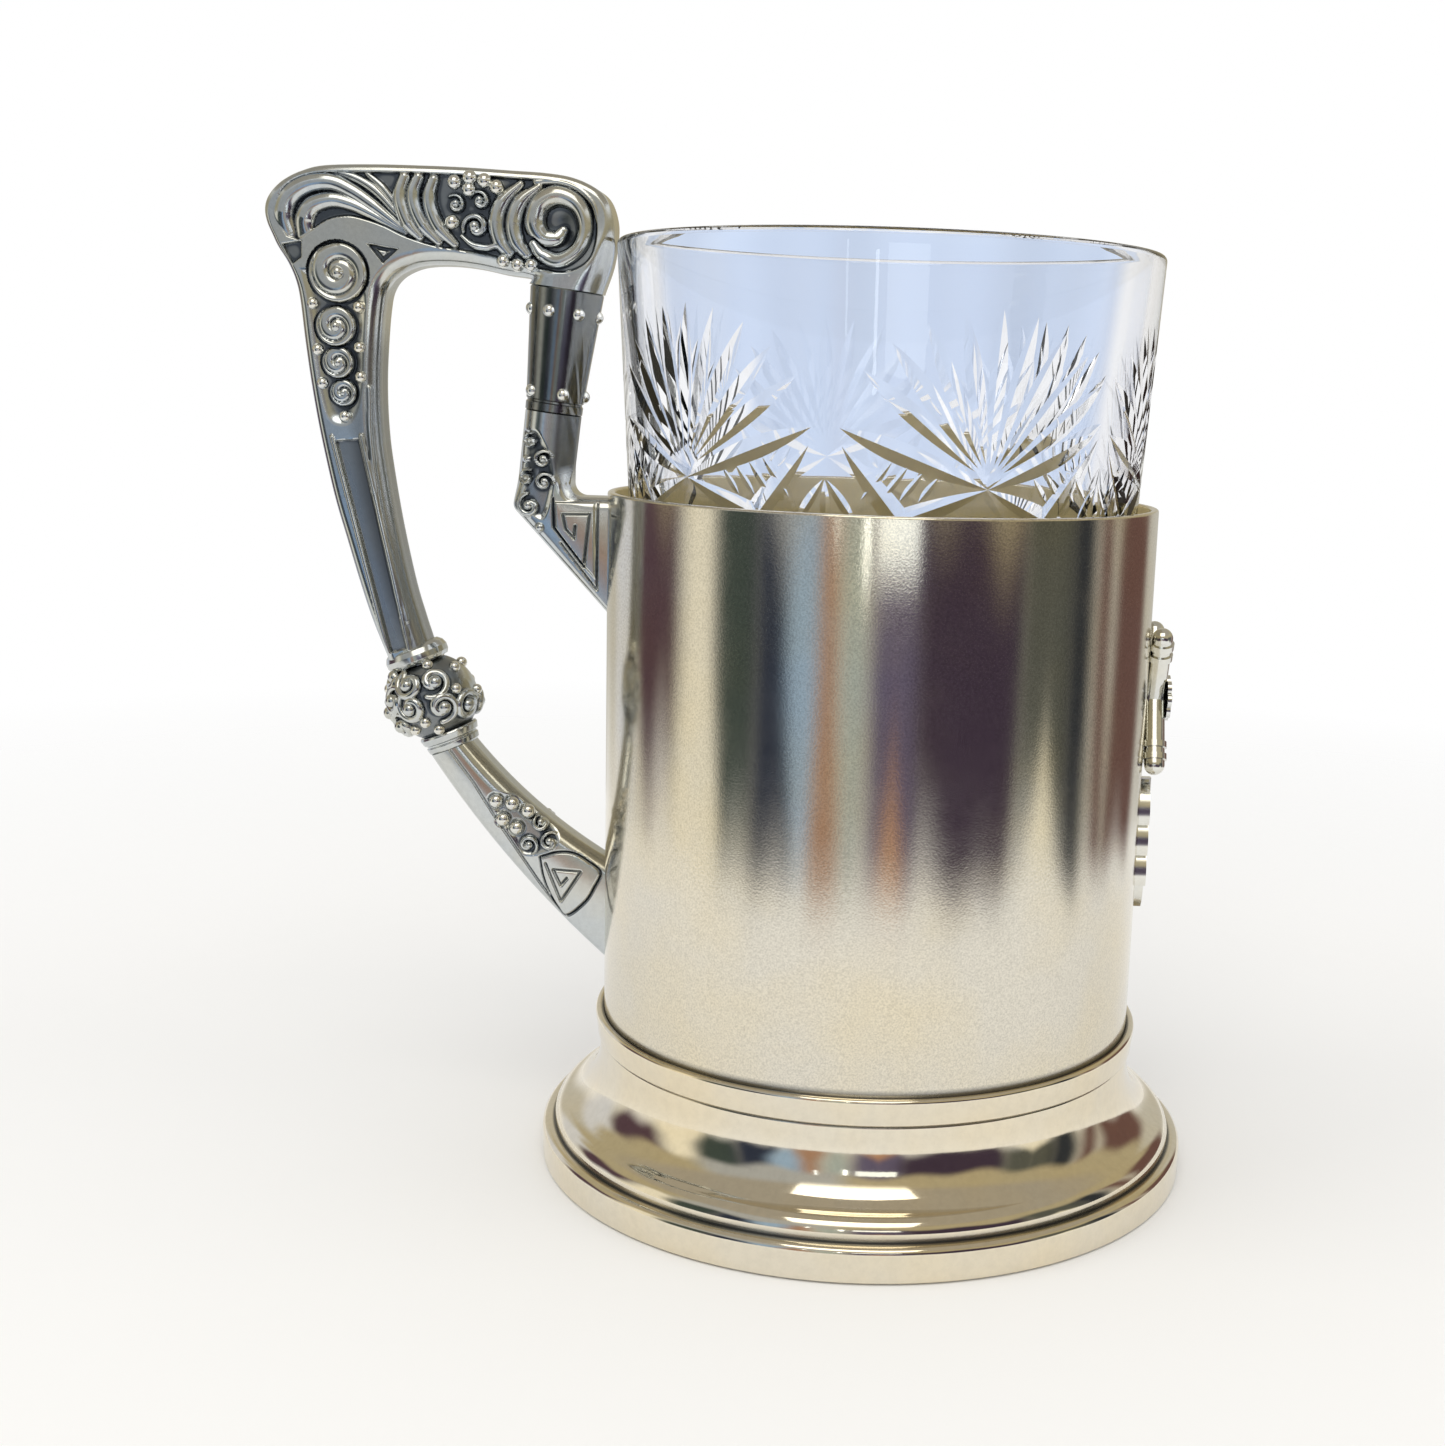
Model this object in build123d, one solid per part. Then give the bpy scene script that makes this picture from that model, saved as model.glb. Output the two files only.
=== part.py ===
from build123d import *
import os
from math import asin, cos, degrees, hypot, radians, sin, sqrt

# A podstakannik: a plated holder with a cast scroll handle, which carries a cut crystal tea glass.
# Millimetres. The origin is the centre of the foot on the table, +Z is up, the handle points to -X
# and the emblem to +X.

# Clearances
SOLDER_GAP = 0.05  # solder film between a casting and the wall
SLIP_GAP = 0.05  # dowel, rod, rivets and floor in their seats

# Wall and floor
WALL_RADIUS = 35.0
WALL_SHEET = 1.0
WALL_RIM_HEIGHT = 87.1
WALL_RIM_ROUND = 0.3
FLOOR_SHEET = 1.0

# Foot mouldings, from the wall down to the table
COLLAR_HEIGHT = 3.5
COLLAR_STAND = 1.15
COLLAR_TAPER = 0.4
COLLAR_ROUND = 0.5
FLANGE_HEIGHT = 16.1
FLANGE_STAND = 0.45
FLANGE_EDGE = 1.6
FLANGE_WIDTH = 4.5
COVE_SHEET = 1.0
COVE_SWEEP = 75.0  # degrees of the hollow curve
LIP_HEIGHT = 2.4
LIP_INSET = 1.65
LIP_SKIRT = 1.0
FOOT_SPREAD = 8.0  # foot rim beyond the wall
FOOT_RIM_HEIGHT = 4.3
FOOT_RIM_WIDTH = 3.4
FOOT_RIM_ROUND = 0.9

# Tumbler
GLASS_HEIGHT = 100.8
GLASS_PLAY = 1.6  # between the glass and the wall's rim
GLASS_SLOPE = 0.055  # radius gained per millimetre of height
GLASS_RIM_WALL = 1.6
GLASS_FOOT_WALL = 4.0
GLASS_BASE = 8.0
GLASS_RIM_ROUND = 0.7
GLASS_FOOT_ROUND = 1.5
GLASS_HOLLOW_ROUND = 6.0

# Cutting on the tumbler: turns in degrees from -Y towards +X, heights above the glass's foot
FAN_TURNS = (21.0, 78.0, 136.5, 195.5, 255.0, 315.7)
FAN_HEIGHT = 73.6
FAN_RAYS = 9
FAN_STEP = 13.0  # degrees from ray to ray
FAN_LEAN = 1.5  # degrees
FAN_START = 2.2
FAN_REACH = 19.0
RAY_DEPTH = 0.8
RAY_HALF_WIDTH = 1.05
CROSS_HEIGHT = 73.0
CROSS_RISE = 6.3
CROSS_INSET = 2.8  # degrees short of the middle between two fans
CROSS_DEPTH = 1.0
CROSS_HALF_WIDTH = 1.3
BLADE_HEIGHT = 77.3
BLADE_INSET = 3.3  # degrees from the middle between two fans
BLADE_LEAN = 39.5  # degrees
BLADE_LENGTH = 17.0
BLADE_DEPTH = 1.0
BLADE_HALF_WIDTH = 1.4
CUT_SHARES = (-0.05, 0.3, 0.78, 1.03)  # along a cut, where its facets meet
CUT_PEAK = 0.57  # along a cut, where it is deepest
CUT_CLEAR = 0.6  # the cutting wheel's flanks, above the glass

# Handle crown and outer arm
HANDLE_REACH = 42.2  # outermost point, from the wall
CROWN_RISE = 38.3  # crown top above the wall's rim
CROWN_CLEARANCE = 1.2  # crown end from the glass rim
CROWN_CORNER = 5.5
CROWN_SLOPE = 0.6  # fall of the top towards the glass
CROWN_SHOULDER = 8.1  # where the top starts to turn down
CROWN_DEPTH = 11.2  # at the arch
ARCH_REACH = 4.4
BOW_THICKNESS = 6.8
BOW_BEVEL = 1.3
NECK_RISE = 2.0
NECK_ROUND = 1.4
ARM_TOP_WIDTH = 9.3
ARM_END_WIDTH = 5.4
ARM_SHOULDER = 14.9  # below the crown's top
ARM_OUTER_BULGE = 1.5
ARM_INNER_BULGE = 2.4
PANEL_DEPTH = 0.6

# Inner post
POST_LEAN = 6.5  # degrees
POST_INSET = 5.3
POST_DROP = 13.7
SLEEVE_LENGTH = 15.4
SLEEVE_TOP_RADIUS = 4.35
SLEEVE_END_RADIUS = 3.5
ROD_RADIUS = 1.9
ROD_SEAT = 6.0
SLEEVE_RIVET_HEAD = 0.8
SLEEVE_RIVET_SHANK = 0.45
SLEEVE_RIVET_GRIP = 1.1
SLEEVE_RIVET_INSET = 2.9
SLEEVE_TOP_RIVETS = 8
SLEEVE_END_RIVETS = 6

# Bracket between the post and the wall
BRACKET_THICKNESS = 6.4
BRACKET_BEVEL = 1.2
BRACKET_TOP_GAP = 1.0  # below the wall's rim
BRACKET_ELBOW_REACH = 11.9
BRACKET_ELBOW_DROP = 2.5
BRACKET_FOOT_DROP = 15.8
BRACKET_THROAT_REACH = 4.9
BRACKET_THROAT_ROUND = 1.4
KEY_PLATE_BORDER = 1.2
KEY_PLATE_WIDTH = 5.1
KEY_PLATE_LIFT = 0.5
KEY_LINE = 0.4

# Knot between the arms
KNOT_REACH = 23.0  # ball centre from the wall
KNOT_RISE = 34.8  # ball centre above the lower arm's sole
KNOT_LEAN = 22.3  # degrees
BALL_RADIUS = 6.0
BALL_FLAT_CUT = 1.1
KNOT_COLLAR_RADIUS = 4.25
UPPER_COLLAR_LENGTH = 2.7
LOWER_COLLAR_LENGTH = 2.4
DOWEL_RADIUS = 1.5
DOWEL_SEAT = 5.0
KNOT_CURL_RADIUS = 1.3
KNOT_STUD_RADIUS = 0.9

# Lower arm
LOWER_ARM_THICKNESS = 6.6
LOWER_ARM_BEVEL = 1.3
LOWER_ARM_END_WIDTH = 5.6
LOWER_ARM_GAP = 4.8  # sole above the collar ring
LOWER_ARM_SEAT = 13.4  # height of its seat on the wall
LOWER_ARM_SAG = 1.2
SHIELD_LIFT = 0.5

# Ornament
GRANULE_RADIUS = 0.75
GRANULE_SINK = 25.0  # degrees of the ball below its middle that stay
SCROLL_LIFT = 0.9
VOLUTE_LIFT = 1.2
LEAF_LIFT = 0.9
LEAF_BEVEL = 25.0  # degrees

# Emblem
EMBLEM_DROP = 24.6  # baton crossing below the wall's rim
BATON_RADIUS = 1.35
BATON_LENGTH = 18.0
BATON_TILT = 24.0  # degrees
BATON_BAND = 0.25
ROSETTE_RADIUS = 3.0
ROSETTE_LIFT = 1.0
ROSETTE_PETALS = 8
LEAF_DROP_DROP = 44.0  # middle of the leaf drop below the wall's rim
EMBLEM_LEAF_LENGTH = 6.6
EMBLEM_LEAF_WIDTH = 2.6
EMBLEM_LEAF_LIFT = 1.3
EMBLEM_LEAF_PAIRS = 3
EMBLEM_LEAF_TILT = 28.0  # degrees
EMBLEM_RIVET_SHANK = 0.6
EMBLEM_RIVET_HEAD = 1.5
EMBLEM_RIVET_LIFT = 0.5
EMBLEM_RIVET_GRIP = 0.9

# Places worked out from the sizes above
WALL_BORE = WALL_RADIUS - WALL_SHEET
FOOT_RADIUS = WALL_RADIUS + FOOT_SPREAD
COLLAR_TOP = FLANGE_HEIGHT + COLLAR_HEIGHT
FLOOR_TOP = FLANGE_HEIGHT + FLOOR_SHEET
GLASS_TOP = FLOOR_TOP + GLASS_HEIGHT
GLASS_RIM_RADIUS = WALL_BORE - GLASS_PLAY + GLASS_SLOPE * (GLASS_TOP - WALL_RIM_HEIGHT)
GLASS_FOOT_RADIUS = GLASS_RIM_RADIUS - GLASS_SLOPE * GLASS_HEIGHT
CROWN_OUT = -(WALL_RADIUS + HANDLE_REACH)
CROWN_END = -(GLASS_RIM_RADIUS + CROWN_CLEARANCE)
CROWN_TOP = WALL_RIM_HEIGHT + CROWN_RISE
CROWN_MIDDLE = (CROWN_OUT + CROWN_END) / 2
BOW_FACE = BOW_THICKNESS / 2
BRACKET_FACE = BRACKET_THICKNESS / 2
LOWER_ARM_FACE = LOWER_ARM_THICKNESS / 2
LOWER_ARM_SOLE = COLLAR_TOP + LOWER_ARM_GAP
BALL_FLAT = BALL_RADIUS - BALL_FLAT_CUT
EMBLEM_HEIGHT = WALL_RIM_HEIGHT - EMBLEM_DROP
LEAF_DROP_HEIGHT = WALL_RIM_HEIGHT - LEAF_DROP_DROP
STANDING = (Align.CENTER, Align.CENTER, Align.MIN)
HANGING = (Align.CENTER, Align.CENTER, Align.MAX)


def step_from(point, direction, distance):
    return (point[0] + direction[0] * distance, point[1] + direction[1] * distance)


POST_AXIS = (-sin(radians(POST_LEAN)), -cos(radians(POST_LEAN)))
POST_ACROSS = (cos(radians(POST_LEAN)), -sin(radians(POST_LEAN)))
POST_TOP = (CROWN_END - POST_INSET, CROWN_TOP - POST_DROP)
POST_END = step_from(POST_TOP, POST_AXIS, SLEEVE_LENGTH)
KNOT_AXIS = (sin(radians(KNOT_LEAN)), -cos(radians(KNOT_LEAN)))
KNOT_ACROSS = (cos(radians(KNOT_LEAN)), sin(radians(KNOT_LEAN)))
KNOT = (-(WALL_RADIUS + KNOT_REACH), LOWER_ARM_SOLE + KNOT_RISE)
UPPER_SEAT = step_from(KNOT, KNOT_AXIS, -(BALL_FLAT + UPPER_COLLAR_LENGTH))
LOWER_SEAT = step_from(KNOT, KNOT_AXIS, BALL_FLAT + LOWER_COLLAR_LENGTH)


# Drawing in the handle's plane, with points as (x, z)


def bulged(start, end, bulge):
    """An arc from start to end that swells by bulge to its left."""
    (x0, z0), (x1, z1) = start, end
    length = hypot(x1 - x0, z1 - z0)
    middle = ((x0 + x1) / 2 - (z1 - z0) / length * bulge, (z0 + z1) / 2 + (x1 - x0) / length * bulge)
    return ThreePointArc(start, middle, end)


def flat(vector):
    return (vector.X, vector.Y)


def between(first, second, share, down):
    """A point between two edges: share of the way across, down along them."""
    a, b = first @ down, second @ down
    return (a.X + (b.X - a.X) * share, a.Y + (b.Y - a.Y) * share)


def upright(face, depth=0):
    """Stands a flat face up in the handle's plane, depth towards the front."""
    return Plane.XZ.offset(depth) * face


def along(point, direction):
    """The plane at a point of the handle's plane, square to a direction in it."""
    return Plane(origin=(point[0], 0, point[1]), z_dir=(direction[0], 0, direction[1]))


def peg(point, direction, radius, length):
    return along(point, direction) * Cylinder(radius, length, align=STANDING)


def backwards(direction):
    return (-direction[0], -direction[1])


def spin(face):
    """Turns a profile, radius by height, about the holder's axis."""
    return revolve(Plane.XZ * face, Axis.Z)


def slab(face, thickness, bevel, square_ends):
    """A casting of a flat outline, bevelled on both sides but not along its square ends."""
    block = extrude(upright(face), thickness / 2, both=True)

    def is_bevelled(edge):
        middle = edge @ 0.5
        on_face = abs(abs(middle.Y) - thickness / 2) < 1e-3 and abs((edge @ 0).Y - (edge @ 1).Y) < 1e-3
        return on_face and all(hypot(middle.X - x, middle.Z - z) > 1e-2 for x, z in square_ends)

    return chamfer([edge for edge in block.edges() if is_bevelled(edge)], bevel)


def wall_core():
    """What a casting that is soldered to the wall is cut back by."""
    return Cylinder(WALL_RADIUS + SOLDER_GAP, 2 * GLASS_TOP, align=STANDING)


# Ornament


def front_and_back(solids):
    """Ornament on the front face and its mirror image on the back."""
    return solids + [mirror(solid, about=Plane.XZ) for solid in solids]


def on_face(point, face):
    """The plane on a front face of the handle, looking out of it."""
    return Plane(origin=(point[0], -face, point[1]), x_dir=(1, 0, 0), z_dir=(0, -1, 0))


def granule(place, radius=GRANULE_RADIUS):
    """A ball that stands on a flat."""
    return place * Sphere(radius, arc_size1=-GRANULE_SINK, align=STANDING)


def scroll(place, radius, halves, start=90, hand=1, lift=SCROLL_LIFT):
    """A flat spiral of half-round wire: half turns, each smaller than the last."""
    wire = 1.8 * radius / (halves + 3)
    outer = radius - wire / 2
    shrink = (outer - wire) / halves
    centre = (0, 0)
    turns = []
    for half in range(halves):
        turn = start + 180 * half * hand
        turns.append(CenterArc(centre, outer - half * shrink, turn, 180 * hand))
        centre = step_from(centre, (cos(radians(turn + 180)), sin(radians(turn + 180))), shrink)
    path = Wire(turns)
    heading = path % 0
    crest = ThreePointArc((-wire / 2, 0), (0, lift), (wire / 2, 0))
    section = make_face([crest, Line(crest @ 1, crest @ 0)])
    square_on = Plane(origin=path @ 0, x_dir=Vector(0, 0, 1).cross(heading), z_dir=heading)
    return place * sweep(square_on * section, path=path)


def raised(outline, face, lift=LEAF_LIFT, bevel=LEAF_BEVEL):
    """A bevelled leaf or plate that stands on a face of the handle."""
    return extrude(upright(make_face(outline), face), lift, dir=(0, -1, 0), taper=bevel)


def engraved(plate, corners, face, lift):
    """A plate with a line cut along the corners, half as deep as the plate."""
    line = trace(Polyline(*corners), KEY_LINE)
    return plate - extrude(upright(line, face + lift), lift / 2, dir=(0, 1, 0))


def crescent(start, end, belly, hollow):
    return [bulged(start, end, belly), bulged(start, end, hollow)]


def flute(root, outer_end, inner_end, belly, hollow, lobe):
    """A leaf that grows from a pointed root to a round lobe."""
    tip = bulged(outer_end, inner_end, -lobe)
    return [bulged(root, outer_end, -belly), tip, bulged(root, inner_end, -hollow)]


# Holder body


def holder_wall():
    wall = Pos(0, 0, FLANGE_HEIGHT) * Cylinder(WALL_RADIUS, WALL_RIM_HEIGHT - FLANGE_HEIGHT, align=STANDING)
    wall -= Cylinder(WALL_BORE, 2 * WALL_RIM_HEIGHT, align=STANDING)
    wall = fillet(wall.faces().sort_by(Axis.Z)[-1].edges(), WALL_RIM_ROUND)
    for height in (EMBLEM_HEIGHT, LEAF_DROP_HEIGHT):
        wall -= emblem_peg(height, EMBLEM_RIVET_SHANK + SLIP_GAP, 0, WALL_RADIUS * 2)
    return wall


def floor_disc():
    return Pos(0, 0, FLANGE_HEIGHT) * Cylinder(WALL_BORE - SLIP_GAP, FLOOR_SHEET, align=STANDING)


def collar_ring():
    inner = WALL_RADIUS + SOLDER_GAP
    outer = WALL_RADIUS + COLLAR_STAND
    crest = (outer, COLLAR_TOP - COLLAR_ROUND)
    brow = (outer - COLLAR_ROUND, COLLAR_TOP)
    heel = (outer - COLLAR_TAPER, FLANGE_HEIGHT)
    sides = Polyline(crest, heel, (inner, FLANGE_HEIGHT), (inner, COLLAR_TOP), brow)
    return spin(make_face([sides, TangentArc(crest, brow, tangent=(0, 1))]))


def foot_cove():
    neck = WALL_RADIUS + FLANGE_STAND
    bore = neck - FLANGE_WIDTH
    under = FLANGE_HEIGHT - COVE_SHEET
    cove_top = FLANGE_HEIGHT - FLANGE_EDGE
    lip = FOOT_RADIUS - LIP_INSET
    lip_end = FOOT_RIM_HEIGHT + LIP_SKIRT
    width = lip - neck
    drop = cove_top - FOOT_RIM_HEIGHT - LIP_HEIGHT
    outside = EllipticalCenterArc((lip, cove_top), width, drop, 180, arc_size=COVE_SWEEP)
    inside = EllipticalCenterArc(
        (lip, cove_top), width + COVE_SHEET, drop + COVE_SHEET, 180, arc_size=COVE_SWEEP
    )
    roll = TangentArc(outside @ 1, (lip, lip_end), tangent=outside % 1)
    skirt = Polyline(
        (lip, lip_end),
        (lip, FOOT_RIM_HEIGHT),
        (lip - COVE_SHEET, FOOT_RIM_HEIGHT),
        (lip - COVE_SHEET, lip_end),
        flat(inside @ 1),
    )
    flange = Polyline(
        flat(inside @ 0),
        (neck - COVE_SHEET, under),
        (bore, under),
        (bore, FLANGE_HEIGHT),
        (neck, FLANGE_HEIGHT),
        flat(outside @ 0),
    )
    return spin(make_face([outside, roll, skirt, inside, flange]))


def foot_rim():
    middle = FOOT_RADIUS - FOOT_RIM_WIDTH / 2
    band = Pos(middle, FOOT_RIM_HEIGHT / 2) * Rectangle(FOOT_RIM_WIDTH, FOOT_RIM_HEIGHT)
    crest = band.vertices().group_by(Axis.Y)[-1].sort_by(Axis.X)[-1]
    return spin(fillet(crest, FOOT_RIM_ROUND))


# Tumbler


def tumbler():
    hollow_low = GLASS_FOOT_RADIUS - GLASS_FOOT_WALL
    hollow_top = GLASS_RIM_RADIUS - GLASS_RIM_WALL
    profile = make_face(
        Polyline(
            (0, 0),
            (GLASS_FOOT_RADIUS, 0),
            (GLASS_RIM_RADIUS, GLASS_HEIGHT),
            (hollow_top, GLASS_HEIGHT),
            (hollow_low, GLASS_BASE),
            (0, GLASS_BASE),
            close=True,
        )
    )
    for height, radius in (
        (GLASS_HEIGHT, GLASS_RIM_ROUND),
        (0, GLASS_FOOT_ROUND),
        (GLASS_BASE, GLASS_HOLLOW_ROUND),
    ):
        corners = [v for v in profile.vertices() if abs(v.Y - height) < 1e-6 and v.X > 1e-6]
        profile = fillet(corners, radius)
    return Pos(0, 0, FLOOR_TOP) * spin(profile) - glass_cuts()


def on_glass(turn, height, depth):
    """A point at a depth below the tumbler's outside."""
    radius = GLASS_FOOT_RADIUS + GLASS_SLOPE * height - depth
    return Vector(radius * sin(radians(turn)), -radius * cos(radians(turn)), FLOOR_TOP + height)


def arc_per_degree(height):
    return radians(GLASS_FOOT_RADIUS + GLASS_SLOPE * height)


def leaning(turn, height, lean, reach):
    """The place at a reach from another on the unrolled glass, along a lean from upright."""
    return (turn + reach * sin(radians(lean)) / arc_per_degree(height), height + reach * cos(radians(lean)))


def faceted(sections):
    """A solid with flat facets over a row of triangles."""
    facets = [sections[0], sections[-1]]
    for near, far in zip(sections, sections[1:]):
        for k in range(3):
            facets.append((near[k - 1], near[k], far[k]))
            facets.append((near[k - 1], far[k], far[k - 1]))
    return Solid(Shell([Face(Wire.make_polygon(points)) for points in facets]))


def wheel_cut(start, end, depth, half_width):
    """What the wheel takes out for one leaf-shaped cut with a V floor."""
    per_degree = arc_per_degree((start[1] + end[1]) / 2)
    run = (end[0] - start[0]) * per_degree
    rise = end[1] - start[1]
    length = hypot(run, rise)
    sections = []
    for share in CUT_SHARES:
        side = CUT_PEAK if share < CUT_PEAK else 1 - CUT_PEAK
        sunk = depth * (1 - ((share - CUT_PEAK) / side) ** 2)
        aside = (sunk + CUT_CLEAR) * half_width / depth
        turn = start[0] + share * (end[0] - start[0])
        height = start[1] + share * rise
        across = -rise / length * aside / per_degree
        up = run / length * aside
        sections.append(
            (
                on_glass(turn, height, sunk),
                on_glass(turn + across, height + up, -CUT_CLEAR),
                on_glass(turn - across, height - up, -CUT_CLEAR),
            )
        )
    return faceted(sections)


def glass_cuts():
    """Fans of rays over crossed leaves, with a pair of hanging blades between them."""
    cuts = []
    for k, turn in enumerate(FAN_TURNS):
        for ray in range(FAN_RAYS):
            lean = FAN_LEAN + FAN_STEP * (ray - (FAN_RAYS - 1) / 2)
            inner = leaning(turn, FAN_HEIGHT, lean, FAN_START)
            outer = leaning(turn, FAN_HEIGHT, lean, FAN_REACH)
            cuts.append(wheel_cut(inner, outer, RAY_DEPTH, RAY_HALF_WIDTH))
        for hand, neighbour in ((-1, FAN_TURNS[k - 1]), (1, FAN_TURNS[(k + 1) % len(FAN_TURNS)])):
            middle = turn + hand * ((neighbour - turn) * hand % 360) / 2
            for rise in (CROSS_RISE, -CROSS_RISE):
                tip = (middle - hand * CROSS_INSET, CROSS_HEIGHT + rise)
                cuts.append(wheel_cut((turn, CROSS_HEIGHT), tip, CROSS_DEPTH, CROSS_HALF_WIDTH))
            top = (middle - hand * BLADE_INSET, BLADE_HEIGHT)
            low = leaning(*top, 180 + hand * BLADE_LEAN, BLADE_LENGTH)
            cuts.append(wheel_cut(top, low, BLADE_DEPTH, BLADE_HALF_WIDTH))
    return cuts


# Handle crown and outer arm


def from_out(x, z):
    """A point on the crown, measured from its outer end and its top."""
    return (CROWN_OUT + x, CROWN_TOP - z)


def from_middle(x, z):
    return (CROWN_MIDDLE + x, CROWN_TOP - z)


def from_end(x, z):
    return (CROWN_END - x, CROWN_TOP - z)


def arm_edges():
    """The outer arm's two long edges, both from the crown down to the knot."""
    half = ARM_END_WIDTH / 2
    outer_top = from_out(3.8, ARM_SHOULDER)
    inner_top = from_out(3.8 + ARM_TOP_WIDTH, ARM_SHOULDER + 1.0)
    outer = bulged(outer_top, step_from(UPPER_SEAT, KNOT_ACROSS, -half), -ARM_OUTER_BULGE)
    inner = bulged(inner_top, step_from(UPPER_SEAT, KNOT_ACROSS, half), -ARM_INNER_BULGE)
    return outer, inner


def bow_face():
    """The crown and outer arm in outline, round from the post's seam."""
    outer, inner = arm_edges()
    seam_in = step_from(POST_TOP, POST_ACROSS, SLEEVE_TOP_RADIUS)
    seam_out = step_from(POST_TOP, POST_ACROSS, -SLEEVE_TOP_RADIUS)
    neck = step_from(seam_out, POST_AXIS, -NECK_RISE)
    top = FilletPolyline(seam_in, from_end(0, CROWN_SLOPE), from_out(CROWN_SHOULDER, 0), radius=CROWN_CORNER)
    shoulder = Spline(
        flat(top @ 1),
        from_out(2.0, 2.0),
        from_out(0.1, 5.8),
        from_out(1.9, 11.0),
        flat(outer @ 0),
        tangents=(top % 1, outer % 0),
    )
    arch = (flat(inner @ 0)[0] + ARCH_REACH, CROWN_TOP - CROWN_DEPTH)
    spring = TangentArc(inner @ 0, arch, tangent=(inner % 0) * -1)
    underside = TangentArc(arch, neck, tangent=spring % 1)
    seam = Polyline(neck, seam_out, seam_in)
    face = make_face([top, shoulder, outer, Line(outer @ 1, inner @ 1), inner, spring, underside, seam])
    return fillet(face.vertices().sort_by_distance((*neck, 0))[0], NECK_ROUND)


def long_panel():
    """The sunk panel down the front of the outer arm."""
    outer, inner = arm_edges()
    places = ((0.3, 0.46), (0.62, 0.46), (0.62, 0.97), (0.3, 0.97))
    high_out, high_in, low_in, low_out = [between(outer, inner, *place) for place in places]
    sides = [Line(high_out, high_in), bulged(high_in, low_in, -0.5)]
    sides += [Line(low_in, low_out), bulged(low_out, high_out, 0.5)]
    return extrude(upright(make_face(sides), BOW_FACE), PANEL_DEPTH, dir=(0, 1, 0))


def handle_bow():
    bow = slab(bow_face(), BOW_THICKNESS, BOW_BEVEL, [POST_TOP, UPPER_SEAT])
    for panel in front_and_back([long_panel()]):
        bow -= panel
    bow -= peg(POST_TOP, backwards(POST_AXIS), ROD_RADIUS + SLIP_GAP, ROD_SEAT + SLIP_GAP)
    return bow - peg(UPPER_SEAT, backwards(KNOT_AXIS), DOWEL_RADIUS + SLIP_GAP, DOWEL_SEAT + SLIP_GAP)


def crown_leaves():
    """Three acanthus flutes, three gadroons and the two crescents beside the volute."""
    leaves = [
        flute(from_out(17.6, 8.0), from_out(1.7, 7.2), from_out(3.5, 8.6), 5.6, 4.3, 1.0),
        flute(from_out(17.0, 7.9), from_out(4.2, 8.5), from_out(6.0, 8.8), 4.1, 2.9, 0.9),
        flute(from_out(16.4, 8.3), from_out(6.9, 8.7), from_out(8.6, 8.6), 2.5, 1.5, 0.8),
    ]
    for top, foot in ((-3.9, 1.0), (-2.0, 3.1), (-0.1, 5.0)):
        leaves.append(crescent(from_middle(top, 1.6), from_middle(foot, 9.0), -2.1, -0.6))
    for inset in (12.6, 10.4):
        leaves.append(crescent(from_end(inset - 1.2, 2.0), from_end(inset - 0.3, 9.8), -2.2, -0.5))
    return front_and_back([raised(leaf, BOW_FACE) for leaf in leaves])


def crown_volutes():
    volute = scroll(on_face(from_end(5.6, 5.9), BOW_FACE), 4.0, 4, start=200, lift=VOLUTE_LIFT)
    curls = [
        scroll(on_face(from_middle(5.0, 4.0), BOW_FACE), 1.1, 2, start=0, hand=-1),
        scroll(on_face(from_middle(6.5, 6.9), BOW_FACE), 1.4, 3, start=180),
    ]
    return front_and_back([volute] + curls)


BOW_SCROLLS = [  # share across the arm, share down it, radius, half turns
    (0.46, 0.02, 3.4, 4),
    (0.46, 0.142, 2.4, 3),
    (0.46, 0.236, 1.9, 3),
    (0.47, 0.316, 1.6, 3),
]


def bow_scrolls():
    outer, inner = arm_edges()
    scrolls = []
    for share, down, radius, halves in BOW_SCROLLS:
        place = on_face(between(outer, inner, share, down), BOW_FACE)
        scrolls.append(scroll(place, radius, halves, start=60, hand=-1))
    return front_and_back(scrolls)


def bow_granules():
    outer, inner = arm_edges()
    places = [between(outer, inner, 0.46, 0.385)]
    for down in (0.105, 0.2, 0.29):
        places += [between(outer, inner, share, down) for share in (0.12, 0.82)]
    places += [from_middle(x, z) for x, z in ((2.6, 2.4), (4.3, 2.1), (5.9, 1.6), (7.2, 2.8))]
    places += [from_end(x, z) for x, z in ((11.4, 11.0), (9.8, 11.5), (8.2, 11.5), (3.9, 11.6))]
    return front_and_back([granule(on_face(place, BOW_FACE)) for place in places])


# Inner post


def sleeve_rivet_places():
    """Planes on the sleeve's cone, in its own frame, with a ring of rivets near each end."""
    slope = (SLEEVE_END_RADIUS - SLEEVE_TOP_RADIUS) / SLEEVE_LENGTH
    rings = ((SLEEVE_RIVET_INSET, SLEEVE_TOP_RIVETS), (SLEEVE_LENGTH - SLEEVE_RIVET_INSET, SLEEVE_END_RIVETS))
    places = []
    for depth, count in rings:
        radius = SLEEVE_TOP_RADIUS + slope * depth
        for index in range(count):
            turn = radians(360 * (index + 0.5) / count)
            spot = (radius * cos(turn), radius * sin(turn), depth)
            places.append(Plane(origin=spot, z_dir=(cos(turn), sin(turn), -slope)))
    return places


def post_sleeve():
    sleeve = Cone(SLEEVE_TOP_RADIUS, SLEEVE_END_RADIUS, SLEEVE_LENGTH, align=STANDING)
    sleeve -= Cylinder(ROD_RADIUS + SLIP_GAP, 3 * SLEEVE_LENGTH)
    hole = Cylinder(SLEEVE_RIVET_SHANK + SLIP_GAP, SLEEVE_RIVET_GRIP + SLIP_GAP, align=HANGING)
    for place in sleeve_rivet_places():
        sleeve -= place * (hole + Cylinder(SLEEVE_RIVET_SHANK + SLIP_GAP, SLIP_GAP, align=STANDING))
    return along(POST_TOP, POST_AXIS) * sleeve


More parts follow.
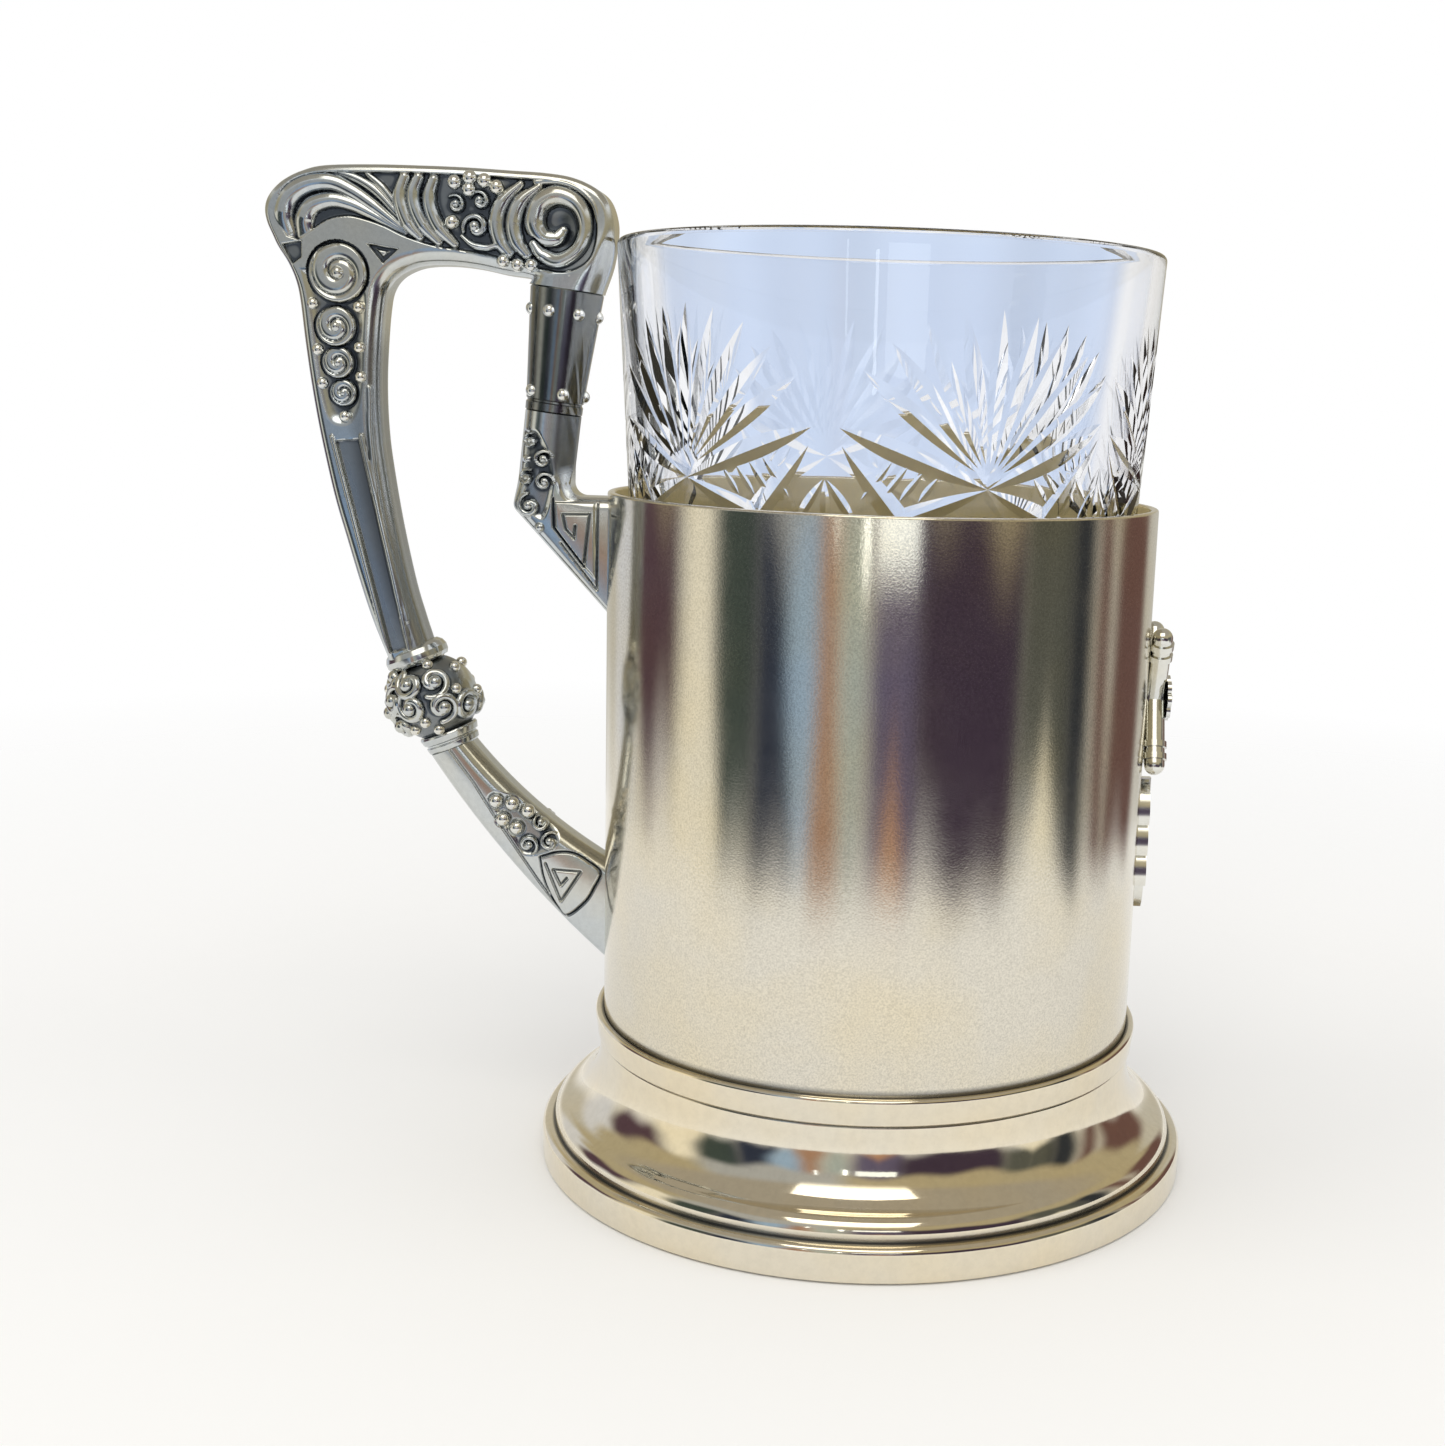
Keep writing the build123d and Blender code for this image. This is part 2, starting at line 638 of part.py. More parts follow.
def sleeve_rivets():
    shank = Cylinder(SLEEVE_RIVET_SHANK, SLEEVE_RIVET_GRIP, align=HANGING)
    rivet = shank + Sphere(SLEEVE_RIVET_HEAD, arc_size1=0, align=STANDING)
    return [along(POST_TOP, POST_AXIS) * (place * rivet) for place in sleeve_rivet_places()]


def post_rod():
    start = step_from(POST_TOP, POST_AXIS, -ROD_SEAT)
    return peg(start, POST_AXIS, ROD_RADIUS, SLEEVE_LENGTH + 2 * ROD_SEAT)


def from_wall(reach, drop):
    """A point on the bracket, measured out from the wall and down from its rim."""
    return (-(WALL_RADIUS + reach), WALL_RIM_HEIGHT - drop)


def bracket_edges():
    """The bracket's outer and inner edges, from the sleeve down."""
    seam_in = step_from(POST_END, POST_ACROSS, SLEEVE_END_RADIUS)
    seam_out = step_from(POST_END, POST_ACROSS, -SLEEVE_END_RADIUS)
    elbow = from_wall(BRACKET_ELBOW_REACH, BRACKET_ELBOW_DROP)
    throat = from_wall(BRACKET_THROAT_REACH, BRACKET_TOP_GAP)
    return Line(seam_out, elbow), Line(seam_in, throat)


def post_bracket():
    outer, inner = bracket_edges()
    seam_out, elbow, seam_in, throat = [flat(end) for end in (outer @ 0, outer @ 1, inner @ 0, inner @ 1)]
    foot = from_wall(0, BRACKET_FOOT_DROP)
    inside = -WALL_RADIUS + BRACKET_THICKNESS / 2
    outline = [
        outer,
        bulged(elbow, foot, -0.3),
        Polyline(foot, (inside, foot[1]), (inside, throat[1])),
        FilletPolyline((inside, throat[1]), throat, seam_in, radius=BRACKET_THROAT_ROUND),
        Line(seam_in, seam_out),
    ]
    bracket = slab(make_face(outline), BRACKET_THICKNESS, BRACKET_BEVEL, [POST_END]) - wall_core()
    return bracket - peg(POST_END, POST_AXIS, ROD_RADIUS + SLIP_GAP, ROD_SEAT + SLIP_GAP)


def bracket_scrolls():
    outer, inner = bracket_edges()
    curls = [(0.26, 0.3, 1.05), (0.52, 0.5, 1.2), (0.24, 0.66, 1.05), (0.54, 0.7, 1.05)]
    solids = []
    for share, down, radius in curls:
        place = on_face(between(outer, inner, share, down), BRACKET_FACE)
        solids.append(scroll(place, radius, 2, start=0))
    elbow_curl = on_face(between(outer, inner, 0.3, 0.95), BRACKET_FACE)
    solids.append(scroll(elbow_curl, 1.6, 3, start=90))
    return front_and_back(solids)


def bracket_key():
    left, right = KEY_PLATE_BORDER + KEY_PLATE_WIDTH, KEY_PLATE_BORDER
    plate = Polyline(
        from_wall(left, 2.3), from_wall(right, 2.3), from_wall(right, 12.4), from_wall(left, 6.8), close=True
    )
    plate = raised(plate, BRACKET_FACE, KEY_PLATE_LIFT)
    key = [(4.9, 3.5), (2.2, 3.5), (2.2, 9.4), (4.9, 6.2), (4.9, 4.9), (3.5, 4.9), (3.5, 6.4)]
    corners = [from_wall(reach, drop) for reach, drop in key]
    return front_and_back([engraved(plate, corners, BRACKET_FACE, KEY_PLATE_LIFT)])


# Knot between the arms


def knot_plane():
    """The knot's frame: z down the dowel, x towards the wall's side, y to the front."""
    return Plane(
        origin=(KNOT[0], 0, KNOT[1]),
        x_dir=(KNOT_ACROSS[0], 0, KNOT_ACROSS[1]),
        z_dir=(KNOT_AXIS[0], 0, KNOT_AXIS[1]),
    )


def ball_place(turn, tilt, radius):
    """The flat of a radius on the ball, turn degrees round from the front and tilt down."""
    turn, tilt = radians(turn), radians(tilt)
    outward = Vector(cos(tilt) * sin(turn), cos(tilt) * cos(turn), sin(tilt))
    level = sqrt(BALL_RADIUS**2 - radius**2)
    return Plane(origin=outward * level, x_dir=outward.cross(Vector(0, 0, 1)), z_dir=outward)


KNOT_CURLS = [(turn, tilt) for tilt in (-27, 9) for turn in (24, -17, -58)]
KNOT_GRANULES = [(50, -6), (38, -45), (2, 34), (-38, 34), (-76, 34), (-36, -48)]
KNOT_STUD = (90, 12)


def knot_ball():
    flat_tilt = degrees(asin(BALL_FLAT / BALL_RADIUS))
    ball = Sphere(BALL_RADIUS, arc_size1=-flat_tilt, arc_size2=flat_tilt)
    ball -= Cylinder(DOWEL_RADIUS + SLIP_GAP, 4 * BALL_RADIUS)
    ball = knot_plane() * ball
    for seat in knot_seats():
        ball -= seat
    return ball


def knot_seats():
    """The flats that are filed on the ball for its curls and granules."""
    seats = []
    for places, radius in ((KNOT_CURLS, KNOT_CURL_RADIUS), (KNOT_GRANULES, GRANULE_RADIUS)):
        pad = Cylinder(radius, radius, align=STANDING)
        seats += front_and_back([knot_plane() * (ball_place(*place, radius) * pad) for place in places])
    stud = Cylinder(KNOT_STUD_RADIUS, KNOT_STUD_RADIUS, align=STANDING)
    return seats + [knot_plane() * (ball_place(*KNOT_STUD, KNOT_STUD_RADIUS) * stud)]


def knot_scrolls():
    curls = []
    for turn, tilt in KNOT_CURLS:
        place = ball_place(turn, tilt, KNOT_CURL_RADIUS)
        curls.append(knot_plane() * scroll(place, KNOT_CURL_RADIUS, 2, start=turn))
    return front_and_back(curls)


def knot_granules():
    granules = [knot_plane() * granule(ball_place(*place, GRANULE_RADIUS)) for place in KNOT_GRANULES]
    stud = knot_plane() * granule(ball_place(*KNOT_STUD, KNOT_STUD_RADIUS), KNOT_STUD_RADIUS)
    return front_and_back(granules) + [stud]


def knot_collar(start, direction, length, beads):
    """A turned collar of one or more rounded beads, bored for the dowel."""
    bead = length / beads
    bore = DOWEL_RADIUS + SLIP_GAP
    waist = KNOT_COLLAR_RADIUS - bead / 2
    profile = [Polyline((waist, length), (bore, length), (bore, 0), (waist, 0))]
    for index in range(beads):
        profile.append(bulged((waist, bead * index), (waist, bead * (index + 1)), -bead / 2.2))
    return along(start, direction) * spin(make_face(profile))


def knot_upper_collar():
    return knot_collar(UPPER_SEAT, KNOT_AXIS, UPPER_COLLAR_LENGTH, 1)


def knot_lower_collar():
    return knot_collar(LOWER_SEAT, backwards(KNOT_AXIS), LOWER_COLLAR_LENGTH, 2)


def knot_dowel():
    start = step_from(UPPER_SEAT, KNOT_AXIS, -DOWEL_SEAT)
    span = 2 * BALL_FLAT + UPPER_COLLAR_LENGTH + LOWER_COLLAR_LENGTH
    return peg(start, KNOT_AXIS, DOWEL_RADIUS, span + 2 * DOWEL_SEAT)


# Lower arm


def lower_arm_edges():
    """The lower arm's lower and upper edges, from the knot to just inside the wall."""
    half = LOWER_ARM_END_WIDTH / 2
    inside = -(WALL_RADIUS - 1.0)
    lower = bulged(step_from(LOWER_SEAT, KNOT_ACROSS, -half), (inside, LOWER_ARM_SOLE), -LOWER_ARM_SAG)
    heel = (inside, LOWER_ARM_SOLE + LOWER_ARM_SEAT)
    upper = bulged(step_from(LOWER_SEAT, KNOT_ACROSS, half), heel, -LOWER_ARM_SAG)
    return lower, upper


def lower_arm():
    lower, upper = lower_arm_edges()
    outline = [lower, Line(lower @ 1, upper @ 1), upper, Line(upper @ 0, lower @ 0)]
    arm = slab(make_face(outline), LOWER_ARM_THICKNESS, LOWER_ARM_BEVEL, [LOWER_SEAT]) - wall_core()
    return arm - peg(LOWER_SEAT, KNOT_AXIS, DOWEL_RADIUS + SLIP_GAP, DOWEL_SEAT + SLIP_GAP)


def lower_arm_granules():
    lower, upper = lower_arm_edges()
    places = [(0.68, 0.27), (0.68, 0.335), (0.68, 0.4), (0.32, 0.3), (0.32, 0.365)]
    return front_and_back([granule(on_face(between(lower, upper, *p), LOWER_ARM_FACE)) for p in places])


def lower_arm_scrolls():
    lower, upper = lower_arm_edges()
    curls = [(0.66, 0.475, 1.1), (0.3, 0.445, 1.2), (0.6, 0.56, 1.15)]
    solids = []
    for share, down, radius in curls:
        place = on_face(between(lower, upper, share, down), LOWER_ARM_FACE)
        solids.append(scroll(place, radius, 2, start=-30))
    return front_and_back(solids)


def lower_arm_shield():
    lower, upper = lower_arm_edges()
    crest, heel, tip = [between(lower, upper, *place) for place in ((0.42, 0.6), (0.8, 0.93), (0.16, 0.8))]
    outline = [bulged(crest, heel, 0.7), bulged(heel, tip, 0.8), bulged(tip, crest, 0.8)]
    shield = raised(outline, LOWER_ARM_FACE, SHIELD_LIFT)
    key = [(0.5, 0.69), (0.66, 0.88), (0.3, 0.79), (0.42, 0.72), (0.52, 0.8)]
    corners = [between(lower, upper, *place) for place in key]
    return front_and_back([engraved(shield, corners, LOWER_ARM_FACE, SHIELD_LIFT)])


# Emblem


def emblem_side(height, reach=0):
    """The plane on the emblem's side, reach out from the wall, with x to the right and y up."""
    return Plane(origin=(WALL_RADIUS + reach, 0, height), x_dir=(0, 1, 0), z_dir=(1, 0, 0))


def emblem_peg(height, radius, start, length):
    """A round peg along +X at a height on the emblem's side."""
    return Plane(origin=(start, 0, height), z_dir=(1, 0, 0)) * Cylinder(radius, length, align=STANDING)


def emblem_seat(height):
    """The blind rivet hole in the back of an emblem casting."""
    depth = EMBLEM_RIVET_GRIP + SLIP_GAP
    return emblem_peg(height, EMBLEM_RIVET_SHANK + SLIP_GAP, 0, WALL_RADIUS + depth)


def emblem_batons():
    """Two crossed batons with banded, knobbed ends, cast in one and seated on the wall."""
    baton = Cylinder(BATON_RADIUS, BATON_LENGTH)
    for end in (-1, 1):
        knob = Pos(0, 0, end * BATON_LENGTH / 2) * Sphere(BATON_RADIUS)
        bands = [Pos(0, 0, end * (BATON_LENGTH / 2 - step)) for step in (1.0, 2.6)]
        baton += knob
        baton += [band * Cylinder(BATON_RADIUS + BATON_BAND, 0.8) for band in bands]
    crossing = None
    for tilt in (-BATON_TILT, BATON_TILT):
        placed = Pos(WALL_RADIUS + BATON_RADIUS, 0, EMBLEM_HEIGHT) * Rot(tilt, 0, 0) * baton
        crossing = placed if crossing is None else crossing + placed
    return crossing - wall_core() - emblem_seat(EMBLEM_HEIGHT)


def emblem_rosette():
    """A petalled boss that caps the crossing."""
    base = 2 * BATON_RADIUS
    plane = emblem_side(EMBLEM_HEIGHT, base)
    rosette = Cylinder(ROSETTE_RADIUS * 0.7, ROSETTE_LIFT * 0.6, align=STANDING)
    rosette += Sphere(ROSETTE_LIFT, arc_size1=0, align=STANDING)
    petal = Cylinder(ROSETTE_RADIUS * 0.34, ROSETTE_LIFT * 0.5, align=STANDING)
    rosette += PolarLocations(ROSETTE_RADIUS * 0.66, ROSETTE_PETALS) * petal
    return plane * rosette


def emblem_leaves():
    """A drop of paired laurel leaves on a stem, seated on the wall."""
    length, width = EMBLEM_LEAF_LENGTH, EMBLEM_LEAF_WIDTH
    blade = make_face([bulged((0, 0), (0, -length), side * width / 2) for side in (-1, 1)])
    leaf = extrude(blade, 2 * EMBLEM_LEAF_LIFT)
    plane = emblem_side(LEAF_DROP_HEIGHT, -EMBLEM_LEAF_LIFT)
    step = length * 0.62
    top = EMBLEM_LEAF_PAIRS * step / 2 + length * 0.4
    drop = Pos(0, top - step * (EMBLEM_LEAF_PAIRS - 0.3), 0) * leaf
    stem = Box(1.0, step * EMBLEM_LEAF_PAIRS, 2.2 * EMBLEM_LEAF_LIFT, align=STANDING)
    drop += Pos(0, top - step * EMBLEM_LEAF_PAIRS / 2, 0) * stem
    for pair in range(EMBLEM_LEAF_PAIRS):
        for tilt in (-EMBLEM_LEAF_TILT, EMBLEM_LEAF_TILT):
            drop += Pos(0, top - step * pair, 0) * Rot(0, 0, tilt) * leaf
    return plane * drop - wall_core() - emblem_seat(LEAF_DROP_HEIGHT)


def emblem_rivets():
    """Rivets from inside the wall, one for the batons and one for the leaf drop."""
    head_face = sqrt(WALL_BORE**2 - EMBLEM_RIVET_HEAD**2) - SOLDER_GAP
    rivets = []
    for height in (EMBLEM_HEIGHT, LEAF_DROP_HEIGHT):
        head = emblem_peg(height, EMBLEM_RIVET_HEAD, head_face - EMBLEM_RIVET_LIFT, EMBLEM_RIVET_LIFT)
        shank = emblem_peg(height, EMBLEM_RIVET_SHANK, head_face, WALL_RADIUS + EMBLEM_RIVET_GRIP - head_face)
        rivets.append(head + shank)
    return rivets


BUILDERS = [
    holder_wall,
    floor_disc,
    collar_ring,
    foot_cove,
    foot_rim,
    tumbler,
    handle_bow,
    crown_leaves,
    crown_volutes,
    bow_scrolls,
    bow_granules,
    post_sleeve,
    sleeve_rivets,
    post_rod,
    post_bracket,
    bracket_scrolls,
    bracket_key,
    knot_upper_collar,
    knot_ball,
    knot_scrolls,
    knot_granules,
    knot_lower_collar,
    knot_dowel,
    lower_arm,
    lower_arm_granules,
    lower_arm_scrolls,
    lower_arm_shield,
    emblem_batons,
    emblem_rosette,
    emblem_leaves,
    emblem_rivets,
]

os.makedirs("parts", exist_ok=True)
for build in BUILDERS:
    made = build()
    shape = Compound(children=made) if isinstance(made, list) else made
    export_step(shape, f"parts/{build.__name__}.step")
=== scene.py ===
import math

import bpy
import numpy as np
from mathutils import Matrix, Vector
from mathutils.geometry import delaunay_2d_cdt
from numpy.lib.stride_tricks import sliding_window_view


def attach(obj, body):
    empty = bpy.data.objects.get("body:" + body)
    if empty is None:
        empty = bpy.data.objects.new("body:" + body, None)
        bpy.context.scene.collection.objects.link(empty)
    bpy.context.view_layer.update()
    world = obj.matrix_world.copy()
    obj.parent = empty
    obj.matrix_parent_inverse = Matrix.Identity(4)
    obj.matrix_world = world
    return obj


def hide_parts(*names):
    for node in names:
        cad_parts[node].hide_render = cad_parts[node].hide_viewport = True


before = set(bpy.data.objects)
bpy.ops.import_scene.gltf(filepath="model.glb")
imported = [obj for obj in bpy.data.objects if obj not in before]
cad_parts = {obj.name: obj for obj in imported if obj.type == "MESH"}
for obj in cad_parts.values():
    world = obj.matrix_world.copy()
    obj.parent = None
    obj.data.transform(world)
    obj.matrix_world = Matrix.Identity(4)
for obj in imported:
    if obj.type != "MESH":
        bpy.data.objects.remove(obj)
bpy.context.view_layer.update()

MM = 0.001

# Sizes and places as in the solids, in millimetres; the handle's points lie in the XZ plane
WALL_R, BORE_R, RIM_Z, RIM_ROUND = 35.0, 34.0, 87.1, 0.3
FLANGE_Z, COLLAR_Z, COLLAR_STAND, COLLAR_TAPER = 16.1, 19.6, 1.15, 0.4
FOOT_R, BAND_Z, BAND_WIDTH, BAND_ROUND, FOOT_SHEET = 43.0, 4.3, 3.4, 0.9, 1.0
GLASS_LOW, GLASS_TOP, GLASS_LOW_R, GLASS_TOP_R = 17.1, 117.9, 28.55, 34.09
GLASS_BASE, GLASS_FOOT_ROUND, GLASS_RIM_ROUND, HOLLOW_ROUND = 8.0, 1.5, 0.8, 6.0
POST_TOP, POST_AXIS, POST_ACROSS = (-40.59, 111.7), (-0.1132, -0.9936), (0.9936, -0.1132)
POST_END, SLEEVE_LENGTH, SLEEVE_R = (-42.33, 96.4), 15.4, 4.6
KNOT, KNOT_AXIS, KNOT_ACROSS = (-58.0, 59.2), (0.3795, -0.9252), (0.9252, 0.3795)
POST_FRAME, KNOT_FRAME = (POST_TOP, POST_AXIS, POST_ACROSS), (KNOT, KNOT_AXIS, KNOT_ACROSS)
BALL_R, UPPER_SEAT, LOWER_SEAT = 6.0, 6.6, 6.9


# Flat curves


def floats(values):
    return np.asarray(values, float)


def step(point, direction, distance):
    return floats(point) + floats(direction) * distance


def smooth(points, per=10):
    """Points along a smooth curve through the given ones."""
    p = floats(points)
    p = np.vstack([2 * p[0] - p[1], p, 2 * p[-1] - p[-2]])
    t = np.linspace(0, 1, per, endpoint=False)[:, None]
    runs = []
    for a, b, c, d in zip(p, p[1:], p[2:], p[3:]):
        square, cube = 2 * a - 5 * b + 4 * c - d, 3 * b - a - 3 * c + d
        runs.append(0.5 * (2 * b + (c - a) * t + square * t**2 + cube * t**3))
    return np.vstack(runs + [p[-2:-1]])


def arc(a, b, bulge, count=48):
    """An arc from a to b that swells by bulge to its left."""
    a, b = floats(a), floats(b)
    chord = b - a
    half = np.hypot(*chord) / 2
    left = np.array([-chord[1], chord[0]]) / (2 * half)
    if abs(bulge) < 1e-6:
        return a + np.linspace(0, 1, count)[:, None] * chord
    sweep = 2 * math.atan2(2 * half * bulge, half**2 - bulge**2)
    centre = (a + b) / 2 + left * (bulge - half / math.sin(sweep / 2))
    x, y = a - centre
    turn = np.linspace(0, -sweep, count)
    return centre + np.stack([x * np.cos(turn) - y * np.sin(turn), x * np.sin(turn) + y * np.cos(turn)], 1)


def arc_from(a, b, heading, count):
    """An arc that leaves a along heading and ends at b."""
    chord = floats(b) - floats(a)
    swing = math.atan2(heading[1], heading[0]) - math.atan2(chord[1], chord[0])
    swing = (swing + math.pi) % (2 * math.pi) - math.pi
    return arc(a, b, np.hypot(*chord) / 2 * math.tan(swing / 2), count)


def corner(a, point, b, radius, count):
    """The rounded corner at a point between two runs, as the arc's points."""
    a, point, b = floats(a), floats(point), floats(b)
    u, v = (a - point) / np.hypot(*(a - point)), (b - point) / np.hypot(*(b - point))
    half = math.acos(np.clip(u @ v, -1, 1)) / 2
    start, end = point + u * radius / math.tan(half), point + v * radius / math.tan(half)
    return arc_from(start, end, -u, count)


def resample(line, count):
    line = floats(line)
    reach = np.concatenate([[0], np.cumsum(np.hypot(*np.diff(line, axis=0).T))])
    spots = np.linspace(0, reach[-1], count)
    return np.stack([np.interp(spots, reach, line[:, k]) for k in (0, 1)], 1)


def run_length(line):
    return np.hypot(*np.diff(floats(line), axis=0).T).sum()


def paired(pieces, pitch):
    """Two long edges as equal rows of points, from pairs of pieces that face each other."""
    counts = [max(3, int(max(map(run_length, pair)) / pitch)) for pair in pieces]
    edges = []
    for lines in zip(*pieces):
        runs = [resample(line, count)[:-1] for line, count in zip(lines, counts)]
        edges.append(np.vstack(runs + [floats(lines[-1])[-1:]]))
    return edges


def spiral(radius, turns, start, hand, left):
    """A spiral round the origin, from a radius down to a share of it."""
    t = np.linspace(0, 1, 64)
    angle = math.radians(start) + hand * 2 * math.pi * turns * t
    reach = radius * (1 - (1 - left) * t)
    return np.stack([reach * np.cos(angle), reach * np.sin(angle)], 1)


def ease(low, high, value):
    t = np.clip((value - low) / (high - low), 0, 1)
    return t * t * (3 - 2 * t)


# Relief: heights over a flat face

# Scrolls: how far a ribbon rounds, as a share of its pitch, its outer edge, its floor and the moat round it
RIBBON, COIL_EDGE, COIL_FLOOR, MOAT, MOAT_DEPTH = 0.42, 0.45, 0.4, 0.25, 0.1
COIL_BEAD, COIL_BEAD_BASE = 0.4, 0.6
# Curls: the wire's half widths and heights along it, and its path and bead, as shares of the curl's size
WIRE_WIDTHS, WIRE_LIFTS = np.array([0.14, 0.22, 0.24, 0.22]), np.array([0.7, 1, 1, 0.9])
WIRE_PATH, WIRE_END, WIRE_BEAD, WIRE_BEAD_BASE = 0.8, 0.12, 0.32, 0.5


def nearest(points, line):
    """The distance of each point from a line, and how far along the line it is."""
    a, span = line[:-1], np.diff(line, axis=0)
    t = ((points[:, None] - a) * span).sum(2) / np.maximum((span**2).sum(1), 1e-9)
    t = np.clip(t, 0, 1)
    gap = ((points[:, None] - a - t[..., None] * span) ** 2).sum(2)
    best = gap.argmin(1)
    rows = np.arange(len(points))
    return np.sqrt(gap[rows, best]), (best + t[rows, best]) / len(a)


def within(points, outline):
    x, y = points.T
    inside = np.zeros(len(points), bool)
    for (x0, y0), (x1, y1) in zip(outline, np.roll(outline, -1, axis=0)):
        crosses = (y0 > y) != (y1 > y)
        inside ^= crosses & (x < (x1 - x0) * (y - y0) / (y1 - y0 + 1e-12) + x0)
    return inside


class Relief:
    """Chased and cast ornament on a face: each call raises or sinks the surface near a line."""

    def __init__(self, points):
        self.points = points
        self.height = np.zeros(len(points))

    def close_to(self, line, margin):
        low, high = line.min(0) - margin, line.max(0) + margin
        return np.flatnonzero(((self.points > low) & (self.points < high)).all(1))

    def ridge(self, line, width, lift, base=0.0, power=0.5):
        """A rounded ridge; width (half of it) and lift may change along the line."""
        line = floats(line)
        width, lift = np.atleast_1d(width), np.atleast_1d(lift)
        near = self.close_to(line, width.max())
        gap, along = nearest(self.points[near], line)
        half = np.interp(along, np.linspace(0, 1, len(width)), width)
        top = np.interp(along, np.linspace(0, 1, len(lift)), lift)
        rise = base + top * np.clip(1 - (gap / half) ** 2, 0, 1) ** power
        hit = gap < half
        self.height[near[hit]] = np.maximum(self.height[near[hit]], rise[hit])

    def groove(self, line, width, depth):
        line = floats(line)
        near = self.close_to(line, width)
        gap, _ = nearest(self.points[near], line)
        self.height[near] -= depth * (1 - ease(0, width, gap))

    def field(self, outline, level, wall=0.35):
        """Brings the inside of an outline to a level, with a sloped wall."""
        outline = floats(outline)
        near = self.close_to(outline, 0.1)
        closed = np.vstack([outline, outline[:1]])
        gap, _ = nearest(self.points[near], closed)
        share = ease(0, wall, np.where(within(self.points[near], outline), gap, 0))
        self.height[near] += (level - self.height[near]) * share

    def away(self, centre):
        return np.hypot(*(self.points - floats(centre)).T)

    def coil(self, centre, radius, pitch, start, base, lift):
        """A flat snail: one rounded ribbon wound inwards, with a bright bead at its heart."""
        x, z = (self.points - floats(centre)).T
        reach = self.away(centre)
        turn = (np.arctan2(z, x) - math.radians(start)) / (2 * math.pi)
        share = ((radius - reach) / pitch - turn) % 1
        first = radius - pitch * (turn % 1)
        gap = np.where(reach > first, reach - first, np.minimum(share, 1 - share) * pitch)
        swell = np.sqrt(1 - (1 - np.clip(gap / (RIBBON * pitch), 0, 1)) ** 2)
        edge = np.clip((reach - radius + COIL_EDGE) / COIL_EDGE, 0, 1)
        rise = base + lift * np.sqrt(1 - edge**2) * (COIL_FLOOR + (1 - COIL_FLOOR) * swell)
        inside = reach < radius
        self.height[inside] = rise[inside]
        moat = (reach >= radius) & (reach < radius + MOAT)
        self.height[moat] = np.minimum(self.height[moat], base - MOAT_DEPTH)
        self.ball(centre, pitch * COIL_BEAD, base + lift * COIL_BEAD_BASE)

    def curl(self, centre, radius, turns, start, hand, base, lift):
        """A small hooked wire with a bead at its heart."""
        path = floats(centre) + spiral(radius * WIRE_PATH, turns, start, hand, WIRE_END)
        self.ridge(path, WIRE_WIDTHS * radius, WIRE_LIFTS * lift, base)
        self.ball(path[-1], radius * WIRE_BEAD, base + lift * WIRE_BEAD_BASE)

    def dish(self, centre, radius, depth):
        """A smooth round hollow."""
        self.height -= depth * np.clip(1 - (self.away(centre) / radius) ** 2, 0, None) ** 1.5

    def ball(self, centre, radius, base):
        away = self.away(centre)
        hit = away < radius
        rise = base + np.sqrt(np.clip(radius**2 - away**2, 0, None))
        self.height[hit] = np.maximum(self.height[hit], rise[hit])


def blurred(grid, reach):
    """A box blur of a grid, twice along both its axes."""
    for _ in range(4):
        padded = np.pad(grid, [(reach, reach), (0, 0)], mode="edge")
        grid = sliding_window_view(padded, 2 * reach + 1, axis=0).mean(-1).T
    return grid


# Meshes

TURNED_STEPS, WALL_STEPS, SMALL_STEPS = 320, 400, 160  # round a turned piece
BEAD_ROWS, BEAD_COLUMNS, BEAD_STAND = 18, 40, 0.25
BEND_STEPS, SIDE_STEPS = 25, 6  # round a casting's edge and across its side
FLAT_ENDS = (0.15, 0.7)  # from a casting's edge, where the relief starts and has its full height
HOLLOW_DARK, GROUND_DARK, RIDGE_BRIGHT, SIDE_DARK = 0.95, 0.52, 0.3, 0.1


def mesh_of(name, verts, faces, materials):
    mesh = bpy.data.meshes.new(name)
    mesh.from_pydata(floats(verts).tolist(), [], [list(map(int, f)) for f in faces])
    for material in materials:
        mesh.materials.append(material)
    return mesh


def linked(name, data):
    thing = bpy.data.objects.new(name, data)
    bpy.context.scene.collection.objects.link(thing)
    return thing


def place(name, verts, faces, materials, nodes, body="holder", patina_and_shade=None, bands=None, crease=40):
    """A smooth-shaded piece from points in millimetres, riding on a body in the place of CAD nodes."""
    mesh = mesh_of(name, floats(verts) * MM, faces, materials)
    mesh.update()
    mesh.shade_smooth()
    mesh.set_sharp_from_angle(angle=math.radians(crease))
    # Darkness for each point: tarnished hollows, and painted shade in joints and on inner sides
    if patina_and_shade is not None:
        layer = mesh.attributes.new("patina_and_shade", "FLOAT", "POINT")
        layer.data.foreach_set("value", np.asarray(patina_and_shade, np.float32))
    if bands is not None:
        mesh.polygons.foreach_set("material_index", np.asarray(bands, np.int32))
    piece = linked(name, mesh)
    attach(piece, body)
    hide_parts(*nodes)


def grid_faces(rows, columns, wrap_columns=True, wrap_rows=False):
    i = np.arange(rows if wrap_rows else rows - 1)
    j = np.arange(columns if wrap_columns else columns - 1)
    i, j = np.meshgrid(i, j, indexing="ij")
    here, below, beside = i * columns, (i + 1) % rows * columns, (j + 1) % columns
    return np.stack([here + j, here + beside, below + beside, below + j], -1).reshape(-1, 4)


def around(count, reach, height):
    """Points round Z at a reach and a height, or rows of them at columns of both."""
    turn = np.linspace(0, 2 * math.pi, count, endpoint=False)
    return np.stack(np.broadcast_arrays(reach * np.cos(turn), reach * np.sin(turn), height), -1)


def lathe(profile, segments):
    """A closed profile, radius by height, turned about Z. Returns points and faces."""
    verts = np.vstack([around(segments, r, z) for r, z in profile])
    return verts, grid_faces(len(profile), segments, True, True)[:, ::-1]


